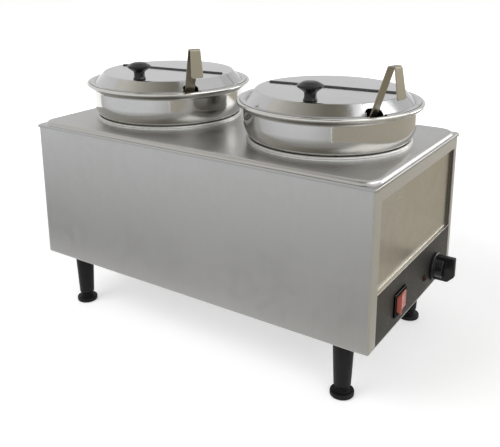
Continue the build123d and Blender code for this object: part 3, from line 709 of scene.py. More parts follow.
# -------------------------------------------------------------------- casing and end panel
def make_casing():
    """Folded wrap. Rows follow the turned-in bottom edge, its bend and the wall's height; the
    loop has points at the window's sides and rows at its top and bottom, and the cell between
    them is left out."""
    length, depth = casing_high.x - casing_low.x, casing_high.y - casing_low.y
    z_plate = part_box("control_plate")[0].z
    z_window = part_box("end_panel")[1].z - sheet
    z0, z1 = casing_low.z, casing_high.z
    bend = circle_arc((bottom_bend, z0 + bottom_bend), bottom_bend, 270, 180, 7)
    section = np.vstack([[(bottom_flange, z0)], bend, [(0, z_plate), (0, z_window), (0, z1)]])
    stops = (window_front - middle_y, window_rear - middle_y)
    grid = stacked(length, depth, casing_bend, section, arc=8, stops=stops, least=bottom_corner)
    grid = grid + (middle_x, middle_y, 0)
    faces = grid_faces(*grid.shape[:2], wrap_columns=True).reshape(len(grid) - 1, -1, 4)
    keep = np.ones(faces.shape[:2], bool)
    on_end = np.isclose(grid[-1, :, 0], face_x) & np.isclose(grid[-1, :, 1], window_front)
    window_row = len(grid) - 3
    keep[window_row, int(np.argmax(on_end))] = False
    casing = piece_from("casing_wrap", grid, faces[keep].tolist(), casing_steel)
    middle = (middle_x, middle_y, (z0 + z1) / 2)
    face_towards(casing, read_faces(casing, "center", 3) - middle)
    solidify(casing, sheet)
    place(casing, "root", "casing_steel", "outer_casing")


def make_end_panel():
    """Recessed end panel: a tray whose walls turn into its back through small bends."""
    low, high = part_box("end_panel")
    inner_x = face_x - sheet
    z0, z1 = low.z + sheet, high.z - sheet
    bend = circle_arc((panel_bend, panel_bend + sheet - panel_recess), panel_bend, 180, 270, 7)
    section = np.vstack([[(0, 0)], bend])
    tray = stacked(window_rear - window_front, z1 - z0, panel_bend, section, arc=5)
    tray = facing_end(tray, (inner_x, (window_front + window_rear) / 2, (z0 + z1) / 2))
    panel = piece_from("panel_tray", tray, tube_faces(tray, caps=(1,)), panel_steel)
    face_towards(panel, (1, 0, 0))
    solidify(panel, sheet)
    place(panel, "root", "casing_steel", "end_panel")


def make_panel_shelf():
    """Shelf over the black plate: a strip across the window whose front edge is half a circle."""
    z0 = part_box("end_panel")[0].z
    inner_x = face_x - sheet
    lip = circle_arc((face_x - sheet / 2, z0 + sheet / 2), sheet / 2, -90, 90, 9)
    outline = np.vstack([[(inner_x, z0)], lip, [(inner_x, z0 + sheet)]])
    ends = np.array([[window_front + running_gap], [window_rear - running_gap]])
    grid = np.stack(np.broadcast_arrays(outline[:, 0], ends, outline[:, 1]), -1)
    place(piece_from("panel_shelf", grid, tube_faces(grid), panel_steel), "root", "casing_steel")


# ---------------------------------------------------------------------------------- deck
def deck_rim():
    """Rows of the deck from its hem to the raised field. The section, inward offset against
    height, is carried round rounded rectangles whose corner grows from the hem to the field."""
    section = rounded(
        [(0, z_hem), (0, z_edge), (deck_flange, z_edge), (deck_flange + riser_lean, z_deck),
         (deck_flange + riser_lean + 2 * deck_shoulder, z_deck)],
        [hem_round, riser_round, deck_shoulder])
    offset = section[:, 0]
    blend = np.minimum(offset / deck_flange, 1)
    corner = deck_outer_corner + (deck_field_corner - deck_outer_corner) * blend
    corner -= np.maximum(offset - deck_flange, 0)
    return stacked(deck_length, deck_depth, corner, section, arc=14, side=44)


def deck_surface():
    """Top of the pressed deck: its rim, and a field filled by straight runs from the rim's inner
    outline, and from a line midway between the wells, to the two openings."""
    rim = deck_rim()
    parts = [(rim, grid_faces(*rim.shape[:2], wrap_columns=True))]
    outline = rim[-1][:, :2]
    half_depth = outline[:, 1].max()
    midline = np.linspace((0, -half_depth), (0, half_depth), midline_points)
    opening = well_outer + well_flare + opening_gap
    for side, sign in zip(SIDES, (-1, 1)):
        well = centre_of("well_" + side)[:2] - (middle_x, middle_y)
        edge = np.vstack([outline[outline[:, 0] * sign > 0], midline])
        around = np.arctan2(edge[:, 1] - well[1], edge[:, 0] - well[0])
        edge, around = edge[np.argsort(around)], np.sort(around)
        hole = well + opening * np.column_stack([np.cos(around), np.sin(around)])
        t = np.linspace(0, 1, field_rows)[:, None, None]
        field = edge + (hole - edge) * t
        field = np.concatenate([field, np.full(field.shape[:2] + (1,), z_deck)], -1)
        parts.append((field, grid_faces(*field.shape[:2], wrap_columns=True)))
    points, faces = joined(*parts)
    return points + (middle_x, middle_y, 0), faces


def make_deck():
    """Pressed deck as a sheet of even thickness."""
    deck = piece_from("deck", *deck_surface(), deck_steel)
    face_towards(deck, (0, 0, 1))
    solidify(deck, deck_sheet)
    place(deck, "root", "deck_steel", "deck_top")


# ----------------------------------------------------------------------- wells and insets
def make_well(side):
    """Water well: floor, wall, flare, and the rolled edge, whose foot lies flat on the deck."""
    z_floor = z_deck - well_depth
    z_flare = z_deck - well_flare
    inner = rounded(
        [(0, z_floor + sheet), (well_radius, z_floor + sheet), (well_radius, z_flare + sheet / 2),
         (well_radius + well_flare, z_deck + sheet)], [well_floor_round - sheet, 2 * sheet])
    outer = rounded(
        [(0, z_floor), (well_outer, z_floor), (well_outer, z_flare), (well_outer + well_flare, z_deck)],
        [well_floor_round, sheet])
    roll = circle_arc((well_bead_major, z_deck + well_bead_radius), well_bead_radius, *well_roll, 22)
    foot = well_bead_major + well_bead_radius + well_foot
    lip = [(foot, z_deck + well_foot_top), (foot, z_deck + well_foot_lift)]
    profile = np.vstack([inner, roll, lip, outer[::-1]])
    node = "well_" + side
    place_turned("well_shell_" + side, profile, node, 192, well_steels[side], "root", "well_steel")


def inset_profile(z_bottom):
    """Section of the spun inset: floor, corner, straight wall, the shoulder that rests on the
    well's rolled edge, belly, lip and rolled rim, then the same way back inside."""
    stand_off = well_bead_radius + seat_gap
    touch_r = well_bead_major - stand_off * math.sin(shoulder_angle)
    touch_z = z_deck + well_bead_radius + stand_off * math.cos(shoulder_angle)
    slope = math.tan(shoulder_angle)
    z_neck = touch_z + (inset_radius - touch_r) * slope
    z_belly = touch_z + (belly_radius - touch_r) * slope
    line = rounded(
        [(0, z_bottom), (inset_radius, z_bottom), (inset_radius, z_neck), (belly_radius, z_belly),
         (belly_radius, z_deck + belly_top), (rim_major, z_rim)],
        [inset_corner, neck_round, belly_round, lip_round], step=math.radians(3.0))
    inner = beside(line, sheet)
    inner[0, 0] = 0
    roll = circle_arc((rim_major, z_rim), rim_bead, *rim_roll, 40)
    return np.vstack([line[:-1], roll, inner[-2::-1]])


def make_inset(side):
    """Spun inset with a mirror finish."""
    node = "inset_" + side
    profile = inset_profile(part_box(node)[0].z)
    place_turned("inset_shell_" + side, profile, node, 224, inset_steels[side], node, "inset_steel")


# ---------------------------------------------------------------------------------- lids
def lid_section():
    """Path of the lid's top face from near the edge of its flat top down the slope, over the
    locating step and along the flange, and the row at the foot of the slope."""
    corners = [(lid_top - lid_band, z_lid), (lid_top, z_lid), (lid_foot, z_flange - lid_step_drop),
               (lid_step, z_flange), (lid_edge, z_flange)]
    path = rounded(corners, [lid_round, step_round, step_round], step=math.radians(6.0))
    return path, int(np.argmin(path[:, 1] + np.abs(path[:, 0] - lid_foot)))


def knuckle_places(first):
    """Middles of every second knuckle along the hinge, from a first one."""
    return [(i + 0.5) * knuckle_pitch - barrel_length / 2 for i in range(first, knuckles, 2)]


def split_edge(sign, first):
    """The lid's straight edge along the hinge, as x and y: clear of the barrel between its ends,
    and reaching under it at this half's own knuckles."""
    clear = lid_split + sign * (barrel_radius + barrel_gap)
    plain = lid_split + sign * split_gap / 2
    half = barrel_length / 2 + barrel_gap
    reach = (knuckle_pitch - barrel_gap) / 2
    tiny = 0.02 * MM
    marks = [(-lid_edge, plain), (-half - tiny, plain), (-half, clear)]
    for x in knuckle_places(first):
        marks += [(x - reach - tiny, clear), (x - reach, lid_split)]
        marks += [(x + reach, lid_split), (x + reach + tiny, clear)]
    marks += [(half, clear), (half + tiny, plain), (lid_edge, plain)]
    return np.array(marks)


def notch_arch():
    """Outline of the notch from one foot up, over and down the other, as distances across and
    heights at even steps along it."""
    z_foot, z_top = z_flange - lid_step_drop, z_flange - sheet + notch_rise
    arch = rounded([(-notch_half, z_foot), (-notch_half, z_top), (notch_half, z_top), (notch_half, z_foot)],
                   [notch_corner, notch_corner], step=math.radians(8.0))
    along = lengths_along(arch)
    steps = np.linspace(0, along[-1], 41)
    return np.interp(steps, along, arch[:, 0]), np.interp(steps, along, arch[:, 1])


def lid_columns(half, first, reach, marks):
    """Shares of the turn at which a lid half has its columns, one of them at each corner of its
    straight edge. With them go the place across and the height of the notch's arch at the
    columns that end on it, and nothing at the others."""
    corners = marks[np.abs(marks[:, 0]) < reach, 0]
    even = np.linspace(0, 1, lid_even_columns)
    shares = np.unique(np.concatenate([even, np.arccos(corners / reach) / math.pi]))
    plain = np.full(len(shares), np.nan)
    if half == "rear":
        return shares, plain, plain
    spare = 0.004
    side_angle = math.asin(notch_half / lid_foot)
    low, high = ((notch_azimuth + s * side_angle - first) / (math.pi - 2 * first) for s in (-1, 1))
    arch_across, arch_height = notch_arch()
    clear = (shares < low - spare) | (shares > high + spare)
    shares = np.concatenate([shares[clear], np.linspace(low, high, len(arch_across))])
    across = np.concatenate([plain[clear], arch_across])
    height = np.concatenate([plain[clear], arch_height])
    order = np.argsort(shares)
    return shares[order], across[order], height[order]


def notch_squeeze(path, k_foot, angle, across, height):
    """Radius, height and angle of a lid half's points, squeezed where the notch is. A column on
    one of the notch's upright sides keeps its distance from the notch's middle. On the other
    columns of the notch the rows share out the slope down to the arch's height, and draw in
    evenly from the flat top to the arch's place across."""
    r, z = path[:, :1] + 0 * angle, path[:, 1:] + 0 * angle
    notched = ~np.isnan(across)
    if not notched.any():
        return r, z, angle
    close = 1e-9
    across, height = np.nan_to_num(across), np.nan_to_num(height)
    upright = np.abs(np.abs(across) - notch_half) < close
    sides = notched & upright & (height <= z_flange - lid_step_drop + close)
    angle = np.where(sides, notch_azimuth + np.arcsin(across / r), angle)
    slope = path[:k_foot + 1]
    length = lengths_along(slope)
    stop = np.interp(height, slope[::-1, 1], length[::-1])
    t = np.minimum(np.arange(len(path)) / k_foot, 1)[:, None]
    squeezed_r = np.interp(t * stop, length, slope[:, 0])
    squeezed_z = np.interp(t * stop, length, slope[:, 1])
    inner = path[0, 0] * np.sin(angle[0] - notch_azimuth)
    drawn = np.clip((inner + (across - inner) * t) / squeezed_r, -1, 1)
    squeezed = notched & ~sides
    return (np.where(squeezed, squeezed_r, r), np.where(squeezed, squeezed_z, z),
            np.where(squeezed, notch_azimuth + np.arcsin(drawn), angle))


def lid_half_surface(half):
    """Half of a lid's top face. Rows run from the straight edge along the hinge over the flat
    top and down the section; columns are shares of the turn. On a ring of radius r a column
    lies at the angle that is its share of the way from asin(d / r) to pi - asin(d / r), where
    d is the straight edge's distance from the axis. The cells past the notch are left out."""
    sign = 1 if half == "rear" else -1
    d = sign * lid_split + split_gap / 2
    path, k_foot = lid_section()
    marks = split_edge(sign, FIRST_KNUCKLE[half])
    first = math.asin(d / path[0, 0])
    reach = path[0, 0] * math.cos(first)
    shares, across, height = lid_columns(half, first, reach, marks)
    start = np.arcsin(np.clip(d / path[:, :1], -1, 1))
    angle = start + shares * (math.pi - 2 * start)
    r, z, angle = notch_squeeze(path, k_foot, angle, across, height)
    rings = np.stack([r * np.cos(angle), sign * r * np.sin(angle), z], -1)
    edge_x = reach * np.cos(math.pi * shares)
    edge_y = np.interp(edge_x, marks[:, 0], marks[:, 1])
    edge = np.column_stack([edge_x, edge_y, np.full_like(edge_x, z_lid)])
    # a level row past the knuckles' cuts keeps each cut square
    clear = sign * lid_split + barrel_radius + 2 * barrel_gap
    ring = np.sqrt(path[0, 0] ** 2 - edge_x ** 2)
    level = edge * (1, 0, 1) + (0, sign, 0) * np.minimum(clear, (d + ring) / 2)[:, None]
    t = np.linspace(0, 1, fill_rows, endpoint=False)[:, None, None]
    grid = np.concatenate([edge[None], level + (rings[0] - level) * t, rings])
    faces = grid_faces(*grid.shape[:2]).reshape(len(grid) - 1, -1, 4)
    keep = np.ones(faces.shape[:2], bool)
    notched = ~np.isnan(across)
    keep[1 + fill_rows + k_foot:, notched[:-1] & notched[1:]] = False
    return grid, faces[keep].tolist()


def knuckle_barrels(first):
    """Every second knuckle of the hinge: tubes round the pin, closed at both ends."""
    half = (knuckle_pitch - barrel_gap) / 2
    lip = 0.25 * MM
    profile = np.array([(-half, pin_bore), (-half, barrel_radius - lip), (-half + lip, barrel_radius),
                        (half - lip, barrel_radius), (half, barrel_radius - lip), (half, pin_bore)])
    along, r = profile[:, :1], profile[:, 1:]
    a = np.linspace(0, 2 * math.pi, 28, endpoint=False)
    tube = np.stack([along + 0 * a, r * np.cos(a) + lid_split, r * np.sin(a) + z_lid], -1)
    faces = grid_faces(*tube.shape[:2], wrap_rows=True, wrap_columns=True)
    return joined(*((tube + (x, 0, 0), faces) for x in knuckle_places(first)))


def make_lid_half(side, half):
    """Half of a lid, a sheet of even thickness, and its own knuckles."""
    centre = centre_of("inset_" + side)
    body = ("lid_" if half == "rear" else "flap_") + side
    points, faces = lid_half_surface(half)
    points = turned(points, lid_turn, centre)
    lid = piece_from("lid_shell_%s_%s" % (half, side), points, faces, lid_steels[side])
    face_towards(lid, (0, 0, 1))
    solidify(lid, sheet, even=False)
    place(lid, body, "lid_steel", "lid_%s_%s" % (half, side))
    points, faces = knuckle_barrels(FIRST_KNUCKLE[half])
    points = turned(points, lid_turn, centre)
    barrel = piece_from("knuckles_%s_%s" % (half, side), points, faces, hinge_steel_in_painted_shade)
    place(barrel, body, "lid_steel")


def make_knob(side):
    """Mushroom knob: flared foot, waist, sloping underside, thin edge and low dome."""
    profile = rounded(
        [(0, 0), (knob_foot, 0), (knob_waist, knob_foot_top), (knob_waist, knob_waist_top),
         (knob_cap, knob_cap_low), (knob_cap, knob_cap_high), (knob_crown, knob_height - knob_dome),
         (0, knob_height)],
        [0.8 * MM, 3 * MM, 5 * MM, 0.9 * MM, 1.2 * MM, 16 * MM], step=math.radians(5.0))
    node = "lid_knob_" + side
    place_turned("knob_" + side, profile + (0, z_lid), node, 96, black_knob, "flap_" + side, "black_knob", 60)


# -------------------------------------------------------------------------------- ladles
def ladle_point(side, along, across, up):
    """Points of a ladle's own plane in the row's frame: along the way its hook opens, across
    the strip, and up."""
    inset = centre_of("inset_" + side)
    foot = inset[:2] + ladle_radius * np.array([math.cos(ladle_azimuth), math.sin(ladle_azimuth)])
    along, across, up = np.broadcast_arrays(along, across, up)
    return turned(np.stack([along, across, up + z_ladle], -1), ladle_turns[side], foot)


def bowl_place(side):
    """The bowl's sphere radius, and its centre along and up from the ladle's reference."""
    ball = (bowl_radius ** 2 + bowl_depth ** 2) / (2 * bowl_depth)
    drop = z_ladle - (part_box("inset_" + side)[0].z + sheet + seat_gap + ball)
    return ball, -drop * math.tan(ladle_lean) - bowl_radius / math.cos(ladle_lean), -drop


def make_ladle_handle(side):
    """Strip handle: a rectangle with broken edges carried up the leaning line, over the fold's
    two bends and down the hook. The hook widens evenly to a straight end with round corners:
    within a corner radius of the end, each side draws in by that radius times 1 - sqrt(1 - s^2),
    where s runs from 0 to 1."""
    ball, _, bowl_up = bowl_place(side)
    up = np.array([math.sin(ladle_lean), math.cos(ladle_lean)])
    bottom = up * (bowl_up - ball / math.cos(ladle_lean) / 2) / math.cos(ladle_lean)
    left = up * ladle_top / math.cos(ladle_lean) + up * fold_rise
    right = left + (fold_width, 0)
    down = np.array([math.sin(hook_lean), -math.cos(hook_lean)])
    fold = rounded([bottom, left, right, right + down * fold_rise * up[1]],
                   [fold_bend, fold_bend], step=math.radians(10.0))
    reach = np.sin(np.linspace(0, math.pi / 2, hook_rows)) * hook_length
    line = np.vstack([bottom + (fold[1] - bottom) * np.linspace(0, 1, strip_rows)[:-1, None], fold[1:-1],
                      fold[-1] + down * reach[:, None]])
    past = np.clip((reach - (hook_length - hook_corner)) / hook_corner, 0, 1)
    flare = strip_width + (hook_width - strip_width) * reach / hook_length
    widths = np.full(len(line), strip_width)
    widths[-hook_rows:] = flare - 2 * hook_corner * (1 - np.sqrt(1 - past ** 2))
    runs = np.gradient(line, axis=0)
    runs /= np.linalg.norm(runs, axis=1, keepdims=True)
    normal = np.column_stack([runs[:, 1], -runs[:, 0]])
    half = strip_sheet / 2
    broken = half - strip_edge
    section = np.array([(0.5, -broken), (0.5, broken), (strip_flat, half), (-strip_flat, half),
                        (-0.5, broken), (-0.5, -broken), (-strip_flat, -half), (strip_flat, -half)])
    along = line[:, :1] + normal[:, :1] * section[:, 1]
    height = line[:, 1:] + normal[:, 1:] * section[:, 1]
    grid = ladle_point(side, along, widths[:, None] * section[:, 0], height)
    handle = piece_from("ladle_strip_" + side, grid, tube_faces(grid), ladle_steel)
    place(handle, "ladle_" + side, "ladle_steel", "ladle_handle_" + side)


def make_ladle_bowl(side):
    """Bowl of the ladle: a cap of a sphere with a wall, leaning as the handle does."""
    ball, along, up = bowl_place(side)
    rim = math.degrees(math.asin((bowl_depth - ball) / ball))
    outer = circle_arc((0, 0), ball, -90, rim, 26)
    inner = circle_arc((0, 0), ball - bowl_sheet, rim, -90, 26)
    outer[0, 0] = inner[-1, 0] = 0
    points, faces = spun(np.vstack([outer, inner]), segments=72)
    x, y, z = np.moveaxis(points, -1, 0)
    c, s = math.cos(ladle_lean), math.sin(ladle_lean)
    grid = ladle_point(side, along + c * x + s * z, y, up - s * x + c * z)
    bowl = piece_from("ladle_cup_" + side, grid, faces, ladle_steel)
    place(bowl, "ladle_" + side, "ladle_steel", "ladle_bowl_" + side)


# --------------------------------------------------------------------------- legs and feet
def make_leg(corner):
    """Tapered moulded leg with a stud above and a bore for its foot's stud."""
    node = "leg_" + corner
    z_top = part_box("base_pan")[0].z
    stud_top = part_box(node)[1].z
    bore, bore_top = stud_radius + running_gap, foot_top + stud_length + running_gap
    profile = rounded(
        [(0, bore_top), (bore, bore_top), (bore, foot_top), (foot_neck, foot_top), (leg_end_radius, leg_end),
         (leg_top_radius, z_top), (stud_radius, z_top), (stud_radius, stud_top), (0, stud_top)],
        [0, 0, 0.5 * MM, 2 * MM, 0.8 * MM, 0, 0])
    place_turned("leg_body_" + corner, profile, node, 72, black_leg, "root", "black_leg")


def make_foot(corner):
    """Levelling foot: a disc with rounded edges, a neck and a stud."""
    node = "foot_" + corner
    stud_top = foot_top + stud_length
    profile = rounded(
        [(0, 0), (foot_radius, 0), (foot_radius, foot_height), (foot_neck, foot_height),
         (foot_neck, foot_top), (stud_radius, foot_top), (stud_radius, stud_top), (0, stud_top)],
        [foot_round, foot_round, 1.0 * MM, 0.4 * MM, 0, 0.5 * MM])
    place_turned("foot_body_" + corner, profile, node, 72, black_leg, node, "black_leg")


# ------------------------------------------------------------------------------- controls
def make_dial():
    """Thermostat knob: a turned skirt and hub, and a grip bar. The bar's upright outline, with
    its lower outer corner cut away, is carried across its thickness; near each face it is drawn
    in by edge x (1 - cos a) while a goes through a quarter turn, which rounds its edges."""
    at = on_face("thermostat_knob")
    turning = rounded(
        [(0, dial_gap), (dial_skirt_radius, dial_gap), (dial_skirt_radius, dial_skirt - dial_bevel),
         (dial_skirt_radius - dial_bevel, dial_skirt), (dial_hub_radius, dial_skirt),
         (dial_hub_radius, dial_hub), (0, dial_hub)],
        [0, 0.8 * MM, 0.8 * MM, 1.2 * MM, 1.2 * MM], step=math.radians(12.0))
    points, faces = spun(turning, segments=96)
    skirt = (facing_end(points, at), faces)
    tip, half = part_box("thermostat_knob")[1].x - face_x, dial_bar / 2
    outline = rounded(
        [(dial_gap, -half), (tip - dial_chamfer, -half), (tip, dial_chamfer - half), (tip, half),
         (dial_gap, half)], [2.0 * MM, 2.0 * MM, 1.5 * MM], step=math.radians(15.0))
    side = dial_bar_thickness / 2 - dial_edge
    rows = []
    for x, y in circle_arc((0, 0), dial_edge, -90, 90, 9):
        across = np.full(len(outline), y + math.copysign(side, y))
        rows.append(np.column_stack([beside(outline, dial_edge - x), across]))
    bar = np.array(rows)[..., [0, 2, 1]] + at
    dial = piece_from("dial", *joined(skirt, (bar, tube_faces(bar))), black_knob, 40)
    place(dial, "dial", "black_knob", "thermostat_knob")


def make_bezel():
    """Switch frame: a rounded rectangle carried over its outer edge, face and opening."""
    low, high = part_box("rocker_bezel")
    long, tall = high.y - low.y, high.z - low.z
    margin = long / 2 - (paddle_long / 2 + 2 * paddle_room)
    deep = face_x - low.x
    rim = rounded([(0, 0), (0, bezel_proud), (margin, bezel_proud), (margin, sheet - deep)],
                  [1.0 * MM, 0.6 * MM], step=math.radians(15.0))
    grid = facing_end(stacked(long, tall, bezel_corner, rim), on_face("rocker_bezel"))
    bezel = piece_from("switch_frame", grid, tube_faces(grid, caps=(1,)), black_fitting)
    face_towards(bezel, (1, 0, 0))
    place(bezel, "root", "black_fitting")


def make_paddle():
    """Dished rocker: its face falls from both ends to a valley in the middle, with rounded
    edges, and the whole is tilted about its upright pivot. Rows run from the back edge over the
    rounded one and close the face by drawing in to its middle height."""
    pivot = (face_x + pivot_proud, centre_of("rocker_bezel")[1], centre_of("rocker_paddle")[2])
    back_row = -1.0
    edge = circle_arc((paddle_edge, -paddle_edge), paddle_edge, 180, 90, 5)
    section = np.vstack([[(paddle_taper, back_row)], edge])
    plan = stacked(paddle_long, paddle_tall, paddle_corner, section, arc=5, side=9)
    y = plan[..., 0]
    fall = np.sqrt((y / (paddle_long / 2)) ** 2 + paddle_softness)
    face = paddle_middle + (paddle_end - paddle_middle) * fall
    depth = np.where(plan[..., 2] == back_row, -paddle_back, face + plan[..., 2])
    ring = np.stack([depth, y, plan[..., 1]], -1)
    drawn = 1 - np.linspace(0, 1, 6)[1:, None]
    closing = ring[-1] * np.stack([np.ones_like(drawn), np.ones_like(drawn), drawn], -1)
    grid = np.concatenate([ring, closing])
    grid = turned(grid, paddle_tilt) + pivot
    paddle = piece_from("rocker", grid, tube_faces(grid, caps=(0,)), red_rocker, 50)
    place(paddle, "rocker", "red_rocker", "rocker_paddle")


def make_lamp():
    """Pilot lamp: a neck through the plate, a short rim and a domed lens."""
    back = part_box("pilot_lamp")[0].x - face_x
    rise = lamp_proud * 2 / 3
    ball = (lamp_radius ** 2 + rise ** 2) / (2 * rise)
    first = math.degrees(math.acos(lamp_radius / ball))
    dome = circle_arc((0, lamp_proud - ball), ball, first, 90, 14)
    profile = np.vstack([[(0, back), (lamp_neck, back), (lamp_neck, 0), (lamp_radius, 0)], dome])
    profile[-1, 0] = 0
    points, faces = spun(profile, segments=48)
    lamp = piece_from("lamp_lens", facing_end(points, on_face("pilot_lamp")), faces, amber_lens)
    place(lamp, "root", "amber_lens", "pilot_lamp")


def make_gland():
    """Cord gland: a flange, a domed cap and a threaded end round an open bore."""
    middle = centre_of("cord_gland")
    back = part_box("cord_gland")[0].y - casing_high.y
    flange_top = gland_length / 3
    profile = rounded(
        [(gland_bore, back), (gland_thread, back), (gland_thread, 0), (gland_radius, 0),
         (gland_radius, flange_top), (gland_cap, flange_top), (gland_cap, gland_length - gland_dome),
         (gland_bore + gland_mouth, gland_length), (gland_bore, gland_length)],
        [0, 0, 0.6 * MM, 0.8 * MM, 0.6 * MM, 2.0 * MM, 0.5 * MM])
    points, faces = spun(profile, segments=64, closed=True)
    points = facing_rear(points, (middle[0], casing_high.y, middle[2]))
    place(piece_from("gland_body", points, faces, black_fitting), "root", "black_fitting", "cord_gland")


# ----------------------------------------------------------------------- light and camera
def ray_switch(tree):
    """1 for rays from the camera, through clear pieces and for sharp reflections, else 0."""
    path = tree.nodes.new("ShaderNodeLightPath")
    seen = math_node(tree, "ADD", path.outputs["Is Camera Ray"], path.outputs["Is Glossy Ray"])
    return math_node(tree, "ADD", seen, path.outputs["Is Transmission Ray"], clamp=True)


def make_world():
    """A white surround that shows white and lights the object more gently."""
    light_share = 0.5
    world = bpy.data.worlds.new("surround")
    bpy.context.scene.world = world
    world.use_nodes = True
    tree = world.node_tree
    strength = between(tree, light_share, 1.0, ray_switch(tree))
    tree.links.new(strength, tree.nodes["Background"].inputs["Strength"])
    tree.nodes["Background"].inputs["Color"].default_value = (1.0, 1.0, 1.0, 1.0)


def stage_plane(name, corners, material):
    """A flat four-cornered stage surface."""
    mesh = bpy.data.meshes.new(name)
    mesh.from_pydata([tuple(c) for c in corners], [], [(0, 1, 2, 3)])
    mesh.materials.append(material)
    flat = bpy.data.objects.new(name, mesh)
    bpy.context.scene.collection.objects.link(flat)
    return flat


def make_floor():
    """A pale floor that shows white away from the object and keeps its shadow. Its glow rises
    with the distance from the middle, from where the shadow thins out."""
    shadow_reach, rise, least_glow, half_width, z = 0.5, 0.9, 0.45, 6.0, -0.4 * MM
    material, tree, shader = new_material("pale floor", (0.82, 0.82, 0.82), 0.9)
    shader.inputs["Specular IOR Level"].default_value = 0.0
    shader.inputs["Emission Color"].default_value = (1.0, 1.0, 1.0, 1.0)
    distance = vector_node(tree, "LENGTH", object_place(tree))
    past = math_node(tree, "SUBTRACT", distance, shadow_reach)
    glow = between(tree, least_glow, 1.0, math_node(tree, "MULTIPLY", past, rise, clamp=True))
    strength = math_node(tree, "MULTIPLY", glow, ray_switch(tree))
    tree.links.new(strength, shader.inputs["Emission Strength"])
    signs = ((-1, -1), (1, -1), (1, 1), (-1, 1))
    stage_plane("floor", [(sx * half_width, sy * half_width, z) for sx, sy in signs], material)


def make_card(name, corners, near, far, start, end):
    """A card that only reflections see. Its glow runs from one colour to another along the
    straight line from a start to an end."""
    material = bpy.data.materials.new(name)
    material.use_nodes = True
    tree = material.node_tree
    start, end = np.array(start, float), np.array(end, float)
    axis = (end - start) / ((end - start) @ (end - start))
    along = vector_node(tree, "DOT_PRODUCT", object_place(tree), tuple(axis))
    share = math_node(tree, "SUBTRACT", along, float(start @ axis), clamp=True)
    glow = tree.nodes.new("ShaderNodeEmission")
    tree.links.new(mixed(tree, near, far, share), glow.inputs["Color"])
    tree.links.new(glow.outputs[0], tree.nodes["Material Output"].inputs["Surface"])
    card = stage_plane(name, corners, material)
    card.visible_camera = False
    card.visible_diffuse = False
    card.visible_shadow = False
    card.visible_transmission = False


def level_card(name, height, corners, near, far, start, end):
    """A card laid level at a height, from the plan of its corners and of its colours' line."""
    raised = [(x, y, height) for x, y in (*corners, start, end)]
    make_card(name, raised[:-2], near, far, *raised[-2:])


def make_cards():
    """What the steel reflects, on cards that only reflections see: papers on the floor before the
    casing and beside it, the front ones darker near the casing as painted shade, with a painted
    shade along the casing's foot; a bright strip, a painted highlight, and a sheet behind; and
    overhead a bright strip, another painted highlight, over the control end and a flag that is
    dark there and pale to the left."""
    paper, over_paper = 0.6 * MM, 1.0 * MM
    # Painted shade: the front paper runs dark near the casing and pale away from it.
    level_card("front paper", paper, [(-3.5, -4.0), (1.775, -3.0), (0.322, -0.27), (-3.5, -0.27)],
               (0.34, 0.335, 0.32), (0.90, 0.92, 0.965), (0, -0.25), (-0.4, -1.3))
    # Painted shade: a dark card along the casing's foot, seen only in reflections.
    level_card("foot shade", over_paper, [(-1.3, -0.41), (-0.26, -0.41), (-0.12, -0.27), (-1.3, -0.27)],
               (0.13, 0.13, 0.13), (0.32, 0.32, 0.31), (-0.7, -0.3), (-0.1, -0.3))
    level_card("side paper", paper, [(0.33, -0.27), (1.80, -3.0), (4.0, 3.0), (0.33, 3.0)],
               (0.50, 0.467, 0.397), (0.61, 0.575, 0.487), (0.6, -1.0), (1.2, 1.4))
    # Painted shade, as on the front paper: dark towards the casing.
    level_card("front paper edge", over_paper, [(0.89, -1.28), (1.775, -3.0), (2.8, -3.0), (1.7, -1.0)],
               (0.34, 0.335, 0.32), (0.92, 0.92, 0.95), (0, -0.25), (-0.4, -1.3))
    # Painted highlight: a strip behind the object glowing up to 4.0, seen on the deck's shoulder.
    make_card("rear strip", [(1.0, 3.0, 0.5), (2.4, 2.4, 0.5), (2.4, 2.4, 1.75), (1.0, 3.0, 1.3)],
              (0.9, 0.9, 0.9), (4.0, 4.0, 4.0), (0.98, 3.0, 0.7), (1.45, 3.0, 0.7))
    make_card("rear sheet", [(-5.0, 3.4, 0.3), (4.0, 3.4, 0.3), (4.0, 3.4, 3.2), (-5.0, 3.4, 3.2)],
              (0.84, 0.84, 0.84), (0.84, 0.84, 0.84), (0, 3.4, 0.3), (0, 3.4, 3.2))
    # Painted highlight: a strip overhead glowing 2.8 to 3.4, seen on the deck's corner and the lids.
    level_card("corner strip", 2.05,
               [(0.8, -0.8), (2.8, -0.8), (2.8, 2.6), (1.75, 2.6), (1.1, 0.4), (0.8, 0.05)],
               (2.8, 2.8, 2.8), (3.4, 3.4, 3.4), (0.8, -0.8), (2.8, 0.9))
    level_card("overhead flag", 2.1, [(-2.4, -1.5), (1.25, -1.5), (1.25, -0.1), (-2.4, -0.1)],
               (0.275, 0.26, 0.20), (0.95, 0.92, 0.82), (0.3, -0.8), (-1.6, -0.8))


def standing(right, up, back, position):
    """A matrix that turns an object's X, Y and Z along three directions and moves it."""
    return Matrix([*np.column_stack([right, up, back, position]).tolist(), (0, 0, 0, 1)])


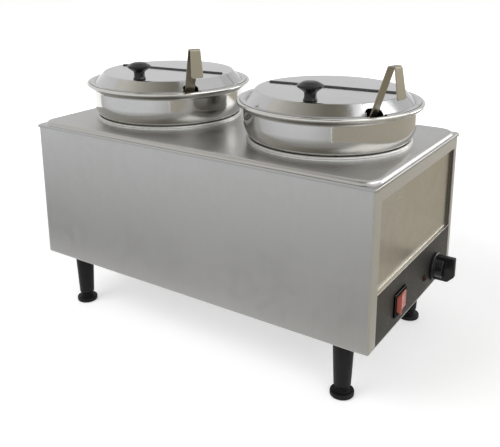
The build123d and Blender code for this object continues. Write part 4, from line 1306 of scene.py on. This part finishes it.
def make_light(name, position, aim, size, power):
    """A square soft light aimed at a point, which reflections don't see."""
    lamp = bpy.data.lights.new(name, "AREA")
    lamp.shape = "SQUARE"
    lamp.size = size
    lamp.energy = power
    light = bpy.data.objects.new(name, lamp)
    bpy.context.scene.collection.objects.link(light)
    back = np.array(position, float) - np.array(aim, float)
    back /= np.linalg.norm(back)
    right = np.cross((0, 0, 1), back)
    right /= np.linalg.norm(right)
    light.visible_glossy = False
    light.matrix_world = standing(right, np.cross(back, right), back, position)


def make_camera():
    """The camera stands off the front of the control end and looks a little down."""
    yaw, pitch, roll = 0.58628, 0.26276, -0.00386
    stand = (0.55987, -0.85074, 0.56277)
    ahead = np.array([-math.sin(yaw) * math.cos(pitch), math.cos(yaw) * math.cos(pitch), -math.sin(pitch)])
    right = np.array([math.cos(yaw), math.sin(yaw), 0.0])
    up = np.cross(right, ahead)
    across = math.cos(roll) * right + math.sin(roll) * up
    upright = -math.sin(roll) * right + math.cos(roll) * up
    data = bpy.data.cameras.new("camera")
    data.sensor_width = 36.0
    data.lens = 49.33
    data.shift_y = -0.17
    data.clip_start = 0.01
    camera = bpy.data.objects.new("camera", data)
    camera.matrix_world = standing(across, upright, -ahead, stand)
    bpy.context.scene.collection.objects.link(camera)
    bpy.context.scene.camera = camera


# ------------------------------------------------------------------------------- assembly
make_camera()
make_world()
make_floor()
make_cards()
make_light("key", (-0.9, -1.5, 1.9), (0, 0, 0.2), 1.4, 20.0)
make_light("fill", (1.6, -0.9, 1.2), (0, 0, 0.2), 1.2, 7.0)
finish_nodes()
make_casing()
make_end_panel()
make_panel_shelf()
make_deck()
for side in SIDES:
    make_well(side)
    make_inset(side)
    make_lid_half(side, "rear")
    make_lid_half(side, "flap")
    make_knob(side)
    make_ladle_handle(side)
    make_ladle_bowl(side)
for corner in CORNERS:
    make_leg(corner)
    make_foot(corner)
make_dial()
make_bezel()
make_paddle()
make_lamp()
make_gland()

bpy.context.scene.view_settings.view_transform = "Standard"
